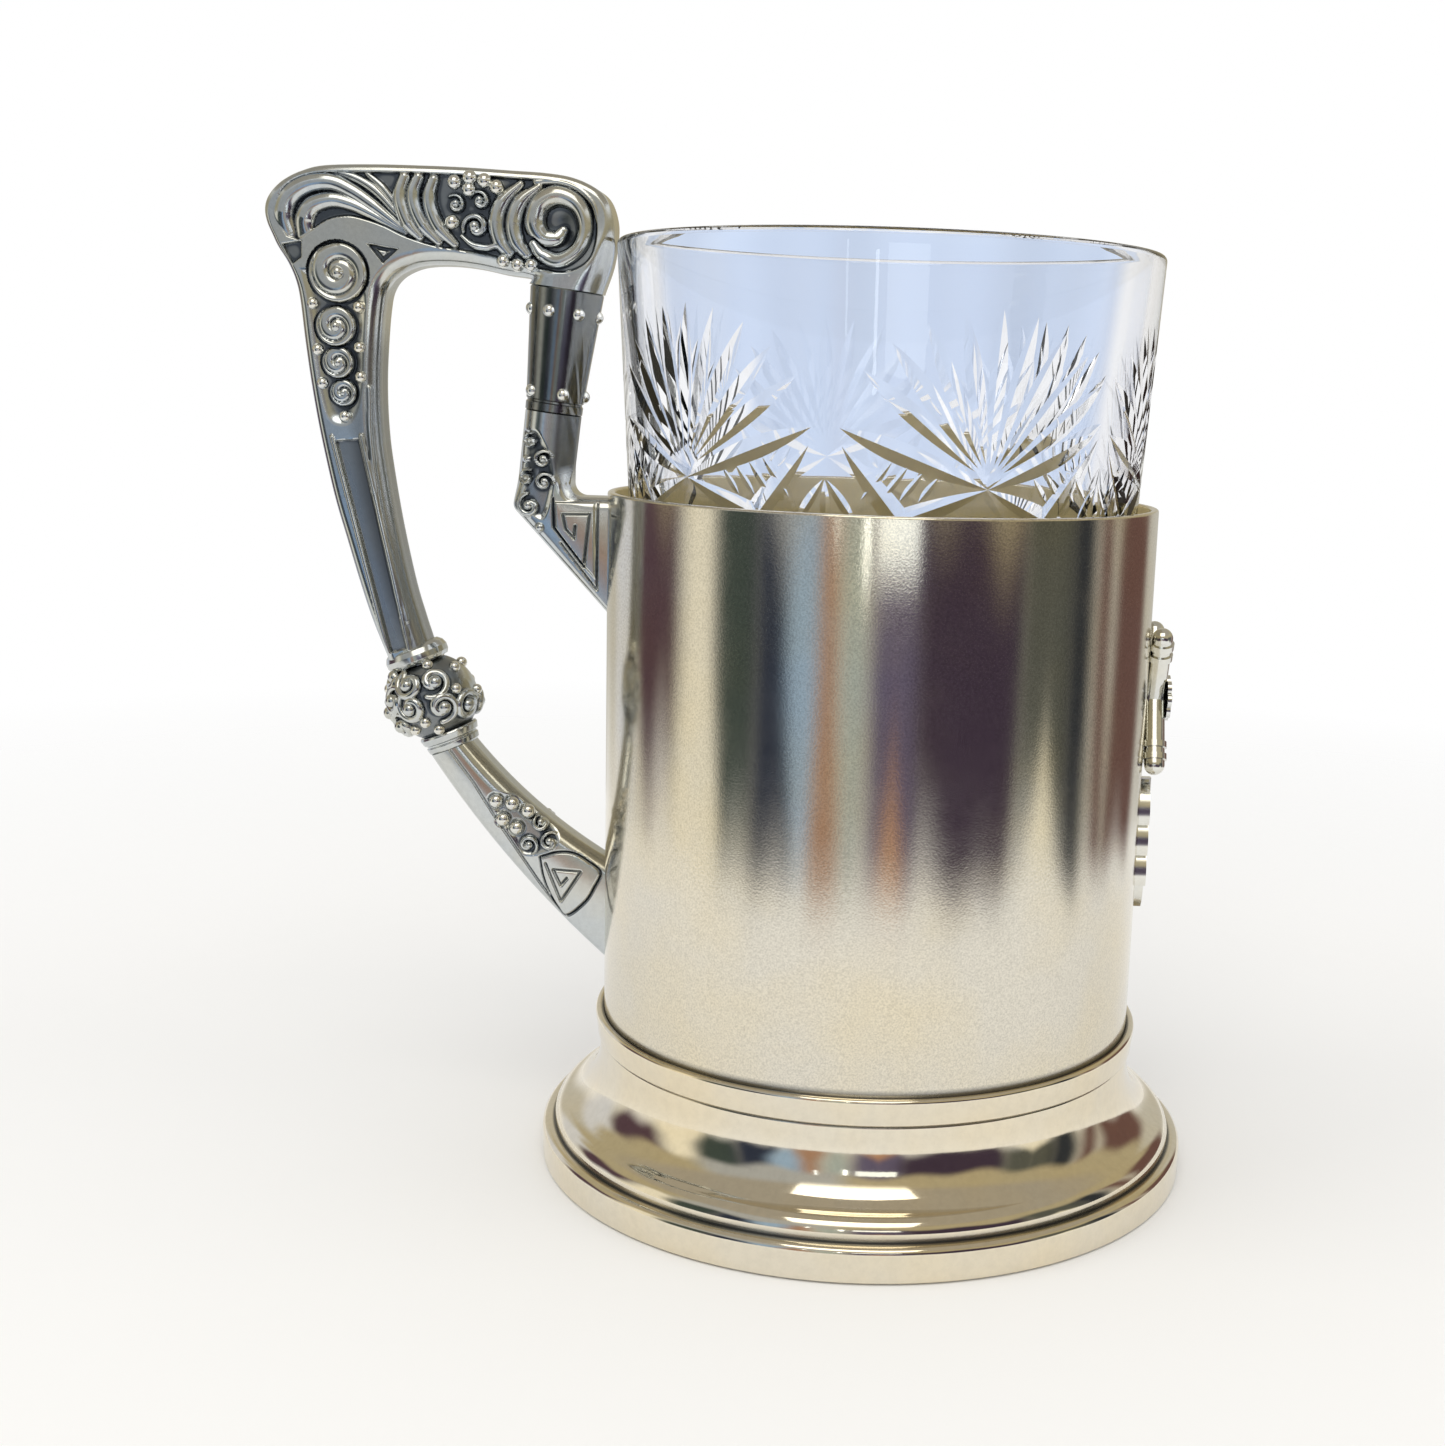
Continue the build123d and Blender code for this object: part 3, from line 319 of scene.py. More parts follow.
def moved(verts, origin, axis, across):
    """Points of an upright piece, moved to an origin in the handle's plane along an axis there."""
    x, z = (np.array([way[0], 0, way[1]]) for way in (across, axis))
    return np.array([origin[0], 0, origin[1]]) + verts @ np.stack([x, np.cross(z, x), z])


def beads(name, node, spots, *place_in_handle):
    """Granules as one piece: balls at (point, radius), upright or moved to a place in the handle."""
    tilt = np.linspace(-math.pi / 2, math.pi / 2, BEAD_ROWS + 2)[1:-1, None]
    shell = around(BEAD_COLUMNS, np.cos(tilt), np.sin(tilt)).reshape(-1, 3)
    low, high = len(shell), len(shell) + 1
    shell = np.vstack([shell, [[0, 0, -1]], [[0, 0, 1]]])
    faces = grid_faces(BEAD_ROWS, BEAD_COLUMNS).tolist()
    ring = np.arange(BEAD_COLUMNS)
    faces += [[b, a, low] for a, b in zip(ring, np.roll(ring, -1))]
    ring = ring + low - BEAD_COLUMNS
    faces += [[a, b, high] for a, b in zip(ring, np.roll(ring, -1))]
    verts, all_faces = [], []
    for point, radius in spots:
        base = len(verts) * len(shell)
        verts.append(floats(point) + shell * radius)
        all_faces += [[base + k for k in face] for face in faces]
    verts = np.vstack(verts)
    if place_in_handle:
        verts = moved(verts, *place_in_handle)
    place(name, verts, all_faces, [bright], [node])


def front_back(points, face, radius):
    """Granule places on the front face and on the back one."""
    depth = face + radius * BEAD_STAND
    return [((x, side * depth, z), radius) for x, z in points for side in (-1, 1)]


def patina_of(rise):
    """Tarnish over a grid of heights: in the hollows and on sunk ground, rubbed off the ridges."""
    hollow = blurred(rise, 4) - rise
    shade = HOLLOW_DARK * ease(0.05, 0.4, hollow) + GROUND_DARK * ease(-0.15, -0.55, rise)
    return shade - RIDGE_BRIGHT * ease(0, -0.3, hollow)


def casting(name, nodes, outer, inner, half, rounding, ornament, inside=100, dome=0.0, painted_inner_shade=0.0):
    """A casting between two edges, rounded along each, with relief on both faces and painted shade on its
    inner side.
    """
    count = len(outer)
    width = np.hypot(*(outer - inner).T)[:, None]
    across = (outer - inner) / width
    sizes = (half, painted_inner_shade, *rounding)
    half, painted_inner_shade, round_out, round_in = (np.broadcast_to(size, (count,))[:, None] for size in sizes)
    bend = np.linspace(0, math.pi / 2, BEND_STEPS)
    middle = np.linspace(0, 1, inside)[1:-1][None]
    first, last = (radius * (1 - np.cos(bend)) for radius in (round_in, round_out))
    reach = np.hstack([first, round_in + middle * (width - round_in - round_out), width - last[:, ::-1]])
    rise_in, rise_out = (half - radius * (1 - np.sin(bend)) for radius in (round_in, round_out))
    depth = np.hstack([rise_in, np.full((count, inside - 2), half), rise_out[:, ::-1]])
    lean = np.hstack([-np.cos(bend), np.zeros(inside - 2), np.cos(bend)[::-1]])
    share = reach / width
    flat = inner[:, None] + (outer - inner)[:, None] * share[..., None]
    relief = Relief(flat.reshape(-1, 2))
    ornament(relief)
    rise = relief.height.reshape(share.shape) * ease(*FLAT_ENDS, np.minimum(reach, width - reach))
    # Darkening from hollows and sunk ground, plus painted shade towards the inner edge
    shade = np.clip(patina_of(rise) + painted_inner_shade * ease(0.65, 0.3, share), 0, 1)
    flat = flat + across[:, None] * (rise * lean)[..., None]
    depth = depth + rise * np.sqrt(1 - lean**2) + dome * (1 - (2 * share - 1) ** 2)
    front = np.concatenate([flat[..., :1], -depth[..., None], flat[..., 1:]], -1)
    back = front * [1, -1, 1]
    rail = np.linspace(1, -1, SIDE_STEPS + 2)[1:-1]
    sides = []
    for edge, limit in ((outer, round_out - half), (inner, half - round_in)):
        x, z = (np.broadcast_to(edge[:, k : k + 1], (count, SIDE_STEPS)) for k in (0, 1))
        sides.append(np.stack([x, limit * rail, z], -1))
    ring = np.concatenate([front, sides[0], back[:, ::-1], sides[1]], 1)
    # Both sides get a little darkening, the inner side the painted shade as well
    low, high = (np.full((count, SIDE_STEPS), SIDE_DARK + more) for more in (0, painted_inner_shade))
    dark = np.concatenate([shade, low, shade[:, ::-1], high], 1)
    columns = ring.shape[1]
    faces = grid_faces(count, columns).tolist()
    faces.append(list(range(columns)))
    faces.append(list(range((count - 1) * columns, count * columns))[::-1])
    place(name, ring.reshape(-1, 3), faces, [cast], nodes, patina_and_shade=dark.reshape(-1), crease=50)


# Materials

TINT_SCALE, GLOSS_SCALE, SMEAR_SCALE = 55, 170, 60  # of the noise, for each metre
BUMP_DEPTH = 0.00005
# The dark colour mixed in for tarnished hollows and for painted shade, and its roughness
TARNISH_AND_SHADE, TARNISH_GLOSS = (0.085, 0.1, 0.12, 1), (0.4, 0.4, 0.4, 1)


def feed(socket, value):
    """Gives a socket a link or a value."""
    if isinstance(value, bpy.types.NodeSocket):
        socket.id_data.links.new(value, socket)
    else:
        socket.default_value = value


def fill(node, **inputs):
    for name, value in inputs.items():
        feed(node.inputs[name.replace("_", " ")], value)
    return node


def added(tree, kind, **inputs):
    return fill(tree.nodes.new("ShaderNode" + kind), **inputs)


def nodes_of(name):
    material = bpy.data.materials.new(name)
    material.use_nodes = True
    tree = material.node_tree
    return material, tree, tree.nodes["Principled BSDF"]


def noise(tree, scale, detail, rough=0.55):
    spot = added(tree, "TexCoord").outputs["Object"]
    return added(tree, "TexNoise", Vector=spot, Scale=scale, Detail=detail, Roughness=rough).outputs["Fac"]


def greys(tree, value, low, high):
    """A value spread over greys, between two stops of (position, grey)."""
    node = added(tree, "ValToRGB", Fac=value)
    for stop, (position, grey) in zip(node.color_ramp.elements, (low, high)):
        stop.position = position
        stop.color = (grey, grey, grey, 1)
    return node.outputs["Color"]


def mixed(tree, share, a, b, kind="MIX"):
    node = added(tree, "Mix")
    node.data_type = "RGBA"
    node.blend_type = kind
    for index, value in ((0, share), (6, a), (7, b)):
        feed(node.inputs[index], value)
    return node.outputs[2]


def silver(name, bright, warm, roughness, grain, bite, speckle, metal=1.0):
    """Plated metal: a drifting tint, fine speckle, uneven gloss, and darkening where the piece has it:
    tarnished hollows, and painted shade on some pieces.
    """
    material, tree, shader = nodes_of(name)
    drift = greys(tree, noise(tree, TINT_SCALE, 3), (0.4, 0), (0.7, 1))
    dots = greys(tree, noise(tree, grain, 2, 0.7), (0.32, 1 - speckle), (0.62, 1.0))
    colour = mixed(tree, 1.0, mixed(tree, drift, (*bright, 1), (*warm, 1)), dots, "MULTIPLY")
    gloss = greys(tree, noise(tree, GLOSS_SCALE, 5), (0.3, roughness * 0.85), (0.75, roughness * 1.3))
    # This attribute holds the castings' tarnished hollows and the painted shade of joints and inner sides
    depth = added(tree, "Attribute")
    depth.attribute_name = "patina_and_shade"
    spread = greys(tree, depth.outputs["Fac"], (0.06, 0), (0.7, 1))
    bump = added(tree, "Bump", Strength=bite, Distance=BUMP_DEPTH, Height=noise(tree, grain, 3))
    fill(
        shader,
        Metallic=metal,
        Base_Color=mixed(tree, spread, colour, TARNISH_AND_SHADE),
        Roughness=mixed(tree, spread, gloss, TARNISH_GLOSS),
        Normal=bump.outputs["Normal"],
    )
    return material


def crystal():
    material, tree, shader = nodes_of("cut_crystal")
    gloss = greys(tree, noise(tree, SMEAR_SCALE, 3), (0.45, 0.0), (0.85, 0.02))
    fill(shader, Base_Color=(0.95, 0.957, 0.975, 1), Transmission_Weight=1.0, IOR=1.53, Roughness=gloss)
    return material


# Name, colour, warmer colour, roughness, scale of the grain, its bite and its speckle
plate = silver("satin_plate", (0.78, 0.74, 0.645), (0.81, 0.735, 0.57), 0.115, 4200, 0.12, 0.24)
polished = silver("polished_plate", (0.8, 0.745, 0.625), (0.84, 0.745, 0.56), 0.07, 900, 0.05, 0.06)
cast = silver("patinated_cast", (0.57, 0.615, 0.65), (0.63, 0.62, 0.55), 0.15, 1500, 0.04, 0.08)
bright = silver("rubbed_silver", (0.77, 0.79, 0.785), (0.81, 0.775, 0.67), 0.12, 1500, 0.04, 0.06)
# Dark silver for the sleeve: its darkness is painted shade
turned = silver("sleeve_silver_painted_shade", (0.22, 0.235, 0.24), (0.34, 0.32, 0.27), 0.16, 1200, 0.05, 0.1)
gilt = silver("gilt", (0.72, 0.56, 0.3), (0.66, 0.52, 0.3), 0.25, 1500, 0.1, 0.1)
lining = silver("gilt_lining", (0.93, 0.76, 0.36), (0.9, 0.72, 0.34), 0.45, 1500, 0.06, 0.06, 0.1)
steel = silver("turned_steel", (0.5, 0.5, 0.51), (0.48, 0.47, 0.46), 0.3, 1500, 0.1, 0.1)
clear = crystal()


# Holder body


def rounded(points, radius_by_index, count=8):
    """A closed outline with some of its corners rounded."""
    out = []
    for k, point in enumerate(points):
        after, radius = points[(k + 1) % len(points)], radius_by_index.get(k)
        out.extend(corner(points[k - 1], point, after, radius, count) if radius else [point])
    return floats(out)


def turned_piece(name, outline, node, painted_shade_at, materials, segments=TURNED_STEPS, bands=None):
    """A turned piece, with painted shade given for each point of its outline."""
    verts, faces = lathe(outline, segments)
    dark = np.repeat(np.asarray([float(painted_shade_at(r, z)) for r, z in outline]), segments)
    place(name, verts, faces, materials, [node], patina_and_shade=dark, bands=bands)


def wall():
    side = [(WALL_R, COLLAR_Z + rise) for rise in (0, 0.35, 1.0, 3.0)]
    corners = [(BORE_R, RIM_Z), (BORE_R, FLANGE_Z), (WALL_R, FLANGE_Z), *side, (WALL_R, RIM_Z)]
    outline = rounded(corners, {0: RIM_ROUND, len(corners) - 1: RIM_ROUND})
    bands = np.repeat(np.where(outline[:, 0] < BORE_R + 0.05, 1, 0), WALL_STEPS)

    # Painted shade on the outside, just above the collar
    def painted_joint_shade(r, z):
        return 0.42 * ease(COLLAR_Z + 0.9, COLLAR_Z + 0.3, z) if r > WALL_R - 0.1 else 0.0

    turned_piece("wall_sheet", outline, "holder_wall", painted_joint_shade, [plate, lining], WALL_STEPS, bands)


def collar():
    outer, joint = WALL_R + COLLAR_STAND, WALL_R + 0.05
    corners = [(outer - COLLAR_TAPER, FLANGE_Z), (outer, COLLAR_Z), (joint + 0.3, COLLAR_Z)]
    corners += [(joint, COLLAR_Z - 0.2), (joint, FLANGE_Z)]

    # Painted shade at the joint with the wall and along the foot
    def painted_joint_shade(r, z):
        return 0.55 * max(ease(joint + 0.4, joint + 0.15, r), ease(FLANGE_Z + 0.35, FLANGE_Z, z))

    outline = rounded(corners, {0: 0.35, 1: 0.5})
    turned_piece("collar_moulding", outline, "collar_ring", painted_joint_shade, [polished])


def foot():
    neck, lip, cove_top = WALL_R + 0.45, FOOT_R - 1.65, FLANGE_Z - 1.6
    width, drop = lip - neck, cove_top - 6.7
    sweep = np.radians(180 + np.linspace(0, 75, 60))
    hollow, under = (
        np.stack([lip + (width + skin) * np.cos(sweep), cove_top + (drop + skin) * np.sin(sweep)], 1)
        for skin in (0, FOOT_SHEET)
    )
    lip_top, inside = BAND_Z + FOOT_SHEET, FLANGE_Z - FOOT_SHEET
    outline = np.vstack(
        [
            corner((neck - 2, FLANGE_Z), (neck, FLANGE_Z), (neck, cove_top), 0.3, 6),
            hollow,
            arc_from(hollow[-1], (lip, lip_top), hollow[-1] - hollow[-2], 20)[1:],
            [(lip, 4.9), (lip, BAND_Z), (lip - FOOT_SHEET, BAND_Z), (lip - FOOT_SHEET, lip_top)],
            under[::-1],
            [(neck - FOOT_SHEET, inside), (neck - 4.5, inside), (neck - 4.5, FLANGE_Z)],
        ]
    )[::-1]

    # Painted shade in the groove under the lip and at the neck under the collar
    def painted_cove_shade(r, z):
        return 0.6 * (ease(5.1, 4.6, z) if r > lip - 0.5 else ease(FLANGE_Z - 0.35, FLANGE_Z, z))

    # Painted shade on the band's top, in the groove beside the lip
    def painted_band_shade(r, z):
        return 0.6 * ease(lip + 0.5, lip + 0.25, r) if z > 4 else 0.0

    turned_piece("foot_hollow", outline, "foot_cove", painted_cove_shade, [polished])
    inner = FOOT_R - BAND_WIDTH
    corners = [(inner, 0), (FOOT_R, 0)] + [(r, BAND_Z) for r in (FOOT_R, lip + 0.5, lip + 0.2, inner)]
    outline = rounded(corners, {1: 0.25, 2: BAND_ROUND})
    turned_piece("foot_band", outline, "foot_rim", painted_band_shade, [polished])


# Handle

PITCH, BOW_PITCH = 0.12, 0.13  # of the rows along a casting
GROUND = -0.6  # of the crown's sunk field
CURL_TURNS = 1.15


def bow_edges():
    """The crown and outer arm as two facing edges, from the post's seam to the knot."""
    seam_in, seam_out = (step(POST_TOP, POST_ACROSS, side * SLEEVE_R) for side in (1, -1))
    seat = step(KNOT, KNOT_AXIS, -UPPER_SEAT)
    rim = [seam_in, (-34.8, 114.8), (-34.4, 118.3), (-34.6, 120.6), (-35.5, 122.8), (-37.2, 124.1)]
    rim += [(-39.8, 125.05), (-43.0, 125.45), (-47.0, 125.6), (-52.8, 125.8), (-58.5, 125.85)]
    rim += [(-64.4, 125.8), (-70.2, 125.5), (-73.1, 124.75), (-75.2, 123.7), (-76.6, 122.5)]
    rim += [(-77.45, 121.2), (-77.7, 119.9), (-77.45, 118.5), (-76.9, 117.2), (-76.2, 115.7)]
    rim += [(-75.0, 113.8), (-74.1, 111.7), (-73.6, 109.3), (-73.1, 104.4), (-72.5, 99.5), (-71.75, 94.6)]
    rim += [(-70.8, 89.6), (-69.7, 84.6), (-68.3, 79.6), (-66.85, 74.5), (-65.3, 69.6)]
    rim.append(step(seat, KNOT_ACROSS, -2.9))
    hollow = [seam_out, step(seam_out, POST_AXIS, -0.6), (-48.1, 113.2), (-51.1, 113.75), (-54.1, 114.05)]
    hollow += [(-57.1, 114.0), (-59.4, 113.55), (-61.5, 112.4), (-62.7, 110.7), (-63.2, 108.3)]
    hollow += [(-63.55, 104.8), (-63.8, 101.0), (-63.85, 97.3), (-63.7, 93.5), (-63.3, 89.7), (-62.1, 82.05)]
    hollow += [(-60.5, 74.3), (-59.2, 69.7), step(seat, KNOT_ACROSS, 2.6)]
    per = 12
    rim, hollow = smooth(rim, per), smooth(hollow, per)
    spans = ((0, 2, 0, 1), (2, 8, 1, 2), (8, 10, 2, 6), (10, 23, 6, 9), (23, 32, 9, 18))
    pieces = [(rim[per * a : per * b + 1], hollow[per * c : per * d + 1]) for a, b, c, d in spans]
    return paired(pieces, BOW_PITCH)


def bow_relief(relief):
    field = smooth(
        [(-74.9, 116.8), (-76.3, 119.6), (-75.2, 122.8), (-72.0, 124.5), (-66.0, 124.9), (-58.0, 125.0)]
        + [(-48.0, 124.8), (-41.5, 124.4), (-37.6, 122.9), (-36.3, 119.5), (-37.0, 115.4), (-40.0, 113.5)]
        + [(-44.0, 113.9), (-48.9, 115.0), (-53.3, 115.7), (-56.8, 116.2), (-60.3, 117.2), (-62.8, 118.3)]
        + [(-65.0, 119.0), (-67.3, 119.4), (-69.7, 118.9), (-71.7, 117.6), (-73.4, 116.4)],
        6,
    )
    relief.field(field, GROUND)
    acanthus(relief)
    for line in (
        [(-60.2, 124.4), (-60.8, 122.5), (-60.6, 120.8), (-59.8, 118.9), (-58.4, 117.3)],
        [(-58.5, 124.4), (-59.2, 122.5), (-58.9, 120.6), (-57.9, 118.7), (-56.1, 116.8)],
        [(-56.6, 124.2), (-57.2, 122.3), (-56.9, 120.3), (-55.9, 118.4), (-54.1, 116.6)],
    ):
        relief.ridge(smooth(line), [0.75, 0.95, 1.0, 1.0, 0.6], [0.8, 1.0, 1.05, 1.0, 0.6], GROUND, 0.6)
    for line in (
        [(-45.9, 124.0), (-48.1, 121.9), (-48.9, 119.5), (-48.5, 117.2), (-47.4, 115.7)],
        [(-43.6, 123.8), (-45.9, 121.9), (-46.8, 119.4), (-46.4, 117.2), (-45.2, 115.6)],
    ):
        relief.ridge(smooth(line), [0.5, 1.05, 1.15, 1.1, 0.8], [0.6, 1.0, 1.15, 1.1, 0.9], GROUND, 0.6)
    volute_relief(relief)
    tail = smooth([(-53.2, 117.6), (-51.9, 116.6), (-50.2, 116.3), (-48.9, 116.6)])
    relief.ridge(tail, [0.3, 0.5, 0.45], [0.6, 0.9, 0.9], GROUND)
    curls = (((-53.9, 121.3), 1.5, 130), ((-50.9, 121.8), 1.6, 160), ((-51.4, 118.7), 2.1, 200))
    for centre, radius, start in curls:
        relief.curl(centre, radius, CURL_TURNS, start, -1, GROUND, 0.95)
    relief.field([(-65.1, 116.4), (-60.9, 115.8), (-63.0, 113.9)], -0.55, 0.25)
    relief.field([(-64.2, 115.9), (-61.9, 115.5), (-63.0, 114.6)], -0.2, 0.3)
    relief.field([(-75.6, 116.0), (-73.0, 116.5), (-73.0, 114.4), (-74.3, 113.4)], -0.5, 0.3)
    arm_relief(relief)


def volute_relief(relief):
    """The scroll at the crown's inner end, round a deep eye."""
    relief.dish((-41.6, 119.4), 2.9, 0.9)
    relief.dish((-40.3, 117.0), 1.9, 0.5)
    path = [(-44.3, 116.9), (-43.2, 115.6), (-41.0, 115.1), (-38.7, 116.6), (-37.9, 119.3), (-38.9, 121.8)]
    path += [(-41.3, 122.8), (-43.5, 121.7), (-44.2, 119.4), (-43.2, 117.8), (-41.6, 117.7), (-40.7, 118.6)]
    widths = [0.7, 1.0, 1.05, 1.0, 1.05, 1.2, 1.35, 1.35, 1.4, 1.25, 1.0, 0.6]
    lifts = [0.8, 1.1, 1.2, 1.25, 1.25, 1.25, 1.25, 1.2, 1.15, 1.0, 0.7, 0.3]
    relief.ridge(smooth(path), widths, lifts, GROUND, 0.65)
    plume = smooth([(-44.0, 124.3), (-41.2, 124.4), (-38.7, 123.6), (-36.9, 121.9), (-36.2, 119.8)])
    relief.ridge(plume, 0.45, [0.5, 0.7, 0.7, 0.6], GROUND)


def acanthus(relief):
    """The leaf at the crown's outer end, whose lobes gather in one point."""
    lobes = (
        (
            [(-75.0, 117.3), (-75.3, 119.7), (-74.4, 121.8), (-72.2, 123.2), (-69.3, 123.5), (-66.7, 122.5)]
            + [(-64.0, 120.8), (-61.7, 119.1), (-59.9, 117.8)],
            [1.25, 1.35, 1.3, 1.2, 1.1, 1.0, 0.85, 0.6, 0.3],
        ),
        (
            [(-72.6, 117.2), (-72.7, 119.1), (-71.6, 120.7), (-69.3, 121.4), (-67.0, 121.0), (-64.6, 120.0)]
            + [(-62.3, 118.8), (-60.2, 117.7)],
            [1.2, 1.3, 1.2, 1.05, 0.9, 0.7, 0.5, 0.3],
        ),
        (
            [(-59.6, 117.8), (-61.6, 120.4), (-64.0, 122.8), (-66.6, 124.2), (-69.4, 124.8)],
            [0.2, 0.5, 0.6, 0.55, 0.3],
        ),
        ([(-59.3, 118.0), (-61.0, 120.6), (-62.9, 123.0), (-64.8, 124.6)], [0.2, 0.45, 0.5, 0.35]),
    )
    for line, widths in lobes:
        lifts = np.minimum(np.array(widths) * 0.9, 0.95)
        lifts[0] *= 0.5
        relief.ridge(smooth(line), widths, lifts, GROUND, 0.6)


BOW_COILS = [  # centre, radius and pitch
    ((-68.2, 98.1), 1.75, 1.1),
    ((-68.8, 101.8), 2.05, 1.3),
    ((-69.0, 106.2), 2.55, 1.6),
    ((-68.6, 112.7), 3.7, 2.05),
]


def arm_relief(relief):
    ground = smooth(
        [(-73.6, 113.2), (-72.6, 108.5), (-72.0, 103.0), (-71.3, 98.0), (-70.0, 94.4), (-67.2, 94.4)]
        + [(-65.6, 98.5), (-65.2, 104.0), (-65.0, 110.0), (-66.5, 113.5)],
        6,
    )
    relief.field(ground, -0.5, 1.6)
    for centre, radius, pitch in BOW_COILS:
        relief.coil(centre, radius, pitch, 85, -0.45, 0.85)
    panel = np.array([(-69.4, 92.2), (-66.4, 92.5), (-60.7, 65.8), (-62.8, 65.2)])
    relief.field(panel, -0.4, 0.25)
    left, right = panel[[0, 3]] + [(-0.35, 0.3), (-0.3, 0)], panel[[1, 2]] + [(0.35, 0.3), (0.35, 0)]
    for a, b in (left, right):
        relief.ridge(arc(a, b, 0, 24), 0.32, 0.28)
    relief.ridge(smooth([(-65.0, 98.8), (-64.9, 92.0), (-63.6, 82.0), (-60.6, 69.5)]), 0.3, 0.22)


TOP_BEADS = [(-54.0, 123.9), (-52.1, 124.5), (-52.2, 123.1), (-50.3, 124.2), (-48.8, 123.5), (-54.3, 119.2)]
SEAM_BEADS = [(-48.0, 114.7), (-46.2, 114.3), (-44.5, 114.3), (-39.7, 113.2)]
ARM_BEADS = [(-71.8, 108.9), (-66.1, 108.6), (-71.3, 103.3), (-66.1, 103.7), (-70.8, 99.2), (-66.0, 100.1)]
ARM_BEADS += [(-68.1, 95.2)]


def bow():
    outer, inner = bow_edges()
    neck = np.where(outer[:, 0] > -45, ease(122, 114, outer[:, 1]), 0)
    rounding = (1.0 + 2.4 * neck, 2.2 + 1.2 * neck)
    # Painted shade on the arm's inner half, below the crown
    painted_inner_shade = 0.3 * ease(108, 102, inner[:, 1])
    nodes = ("handle_bow", "crown_leaves", "crown_volutes", "bow_scrolls")
    casting("crown_and_arm", nodes, outer, inner, 3.4 + 0.9 * neck, rounding, bow_relief, painted_inner_shade=painted_inner_shade)
    spots = front_back(TOP_BEADS, 3.05, 0.92) + front_back(SEAM_BEADS, 3.25, 0.85)
    beads("crown_beads", "bow_granules", spots + front_back(ARM_BEADS, 3.1, 0.75))


def post():
    """The sleeve with its ring groove, and two rings of studs."""
    bore = 1.95
    outline = [(bore, 0), (4.4, 0), (SLEEVE_R, 0.2), (3.62, 13.8), (3.46, 13.95), (3.46, 14.15), (3.62, 14.3)]
    outline += [(3.6, 15.2), (3.4, SLEEVE_LENGTH), (bore, SLEEVE_LENGTH)]
    verts, faces = lathe(outline, SMALL_STEPS)
    # The sleeve's dark silver is painted shade
    place("sleeve", moved(verts, *POST_FRAME), faces, [turned], ["post_sleeve"])
    spots = []
    for depth, count, first in ((2.9, 7, 108), (12.9, 5, 66)):
        radius = 4.3 - 1.0 * depth / SLEEVE_LENGTH
        for k in range(count):
            angle = math.radians(first + 360 * k / count)
            spots.append(((radius * math.cos(angle), radius * math.sin(angle), depth), 0.85))
    beads("sleeve_studs", "sleeve_rivets", spots, *POST_FRAME)


def bracket_relief(relief):
    field = [(-45.9, 94.4), (-43.6, 94.2), (-41.8, 90.6), (-41.6, 87.0), (-43.0, 83.0), (-46.0, 84.6)]
    relief.field(smooth(field, 6), -0.4, 0.9)
    for centre, radius, start in (
        ((-44.7, 92.9), 1.2, 90),
        ((-43.05, 90.6), 1.6, 20),
        ((-45.2, 88.3), 1.3, 60),
        ((-42.95, 87.8), 1.6, 0),
        ((-44.8, 84.8), 1.95, 100),
    ):
        relief.curl(centre, radius, CURL_TURNS, start, 1, -0.4, 0.85)
    relief.ball((-43.5, 82.1), 0.6, 0.0)
    relief.ball((-45.4, 90.6), 0.5, -0.35)
    relief.field([(-41.6, 85.5), (-36.4, 85.5), (-36.3, 75.6), (-38.0, 77.4), (-41.5, 82.0)], 0.3, 0.3)
    key = [(-41.8, 85.9), (-41.7, 82.2), (-37.8, 77.3), (-37.1, 84.0), (-40.5, 83.9), (-40.1, 82.0)]
    key += [(-39.05, 80.9), (-38.9, 82.5)]
    relief.groove(key, 0.24, 0.38)
    relief.groove([(-36.1, 85.3), (-36.2, 74.4), (-40.8, 80.2)], 0.2, 0.3)


def bracket():
    seam_out, seam_in = (step(POST_END, POST_ACROSS, side * 3.5) for side in (-1, 1))
    elbow, throat, mouth, heel = floats([(-47.1, 84.5), (-40.0, 86.1), (-34.4, 86.1), (-34.4, 70.8)])
    bend = corner(seam_out, elbow, heel, 1.4, 12)
    turn = corner(seam_in, throat, mouth, 1.6, 16)
    arm = ([seam_out, bend[0]], [seam_in, turn[0]])
    strut = ([bend[-1], heel], np.vstack([turn[7:], [mouth]]))
    outer, inner = paired([arm, (bend, turn[:8]), strut], PITCH)
    tube = ease(84.5, 88.5, outer[:, 1])
    rounding = (1.1 + 1.9 * tube, 1.6 + 1.4 * tube)
    nodes = ("post_bracket", "bracket_scrolls", "bracket_key")
    # Painted shade on the inner side of the round upper part
    casting("bracket_cast", nodes, outer, inner, 3.3, rounding, bracket_relief, 80, 0.35, 0.5 * tube)


# The knot's ornament, as turns round its axis and tilts towards it, in degrees
KNOT_CURLS = [(-12, -30), (22, -22), (-18, -1), (20, 12), (-46, -14), (-52, 20), (-48, -44), (56, 24)]
KNOT_CURLS += [(-78, 0)]
KNOT_BEADS = [(27, -49), (46, -3), (-10, 24), (-34, 30), (66, -30), (2, 42), (-76, -32), (-78, 30)]
KNOT_ROWS, KNOT_COLUMNS, KNOT_END = 220, 440, 0.955
KNOT_SUNK, KNOT_CURL_R, KNOT_BEAD_R = 0.35, 2.65, 0.75


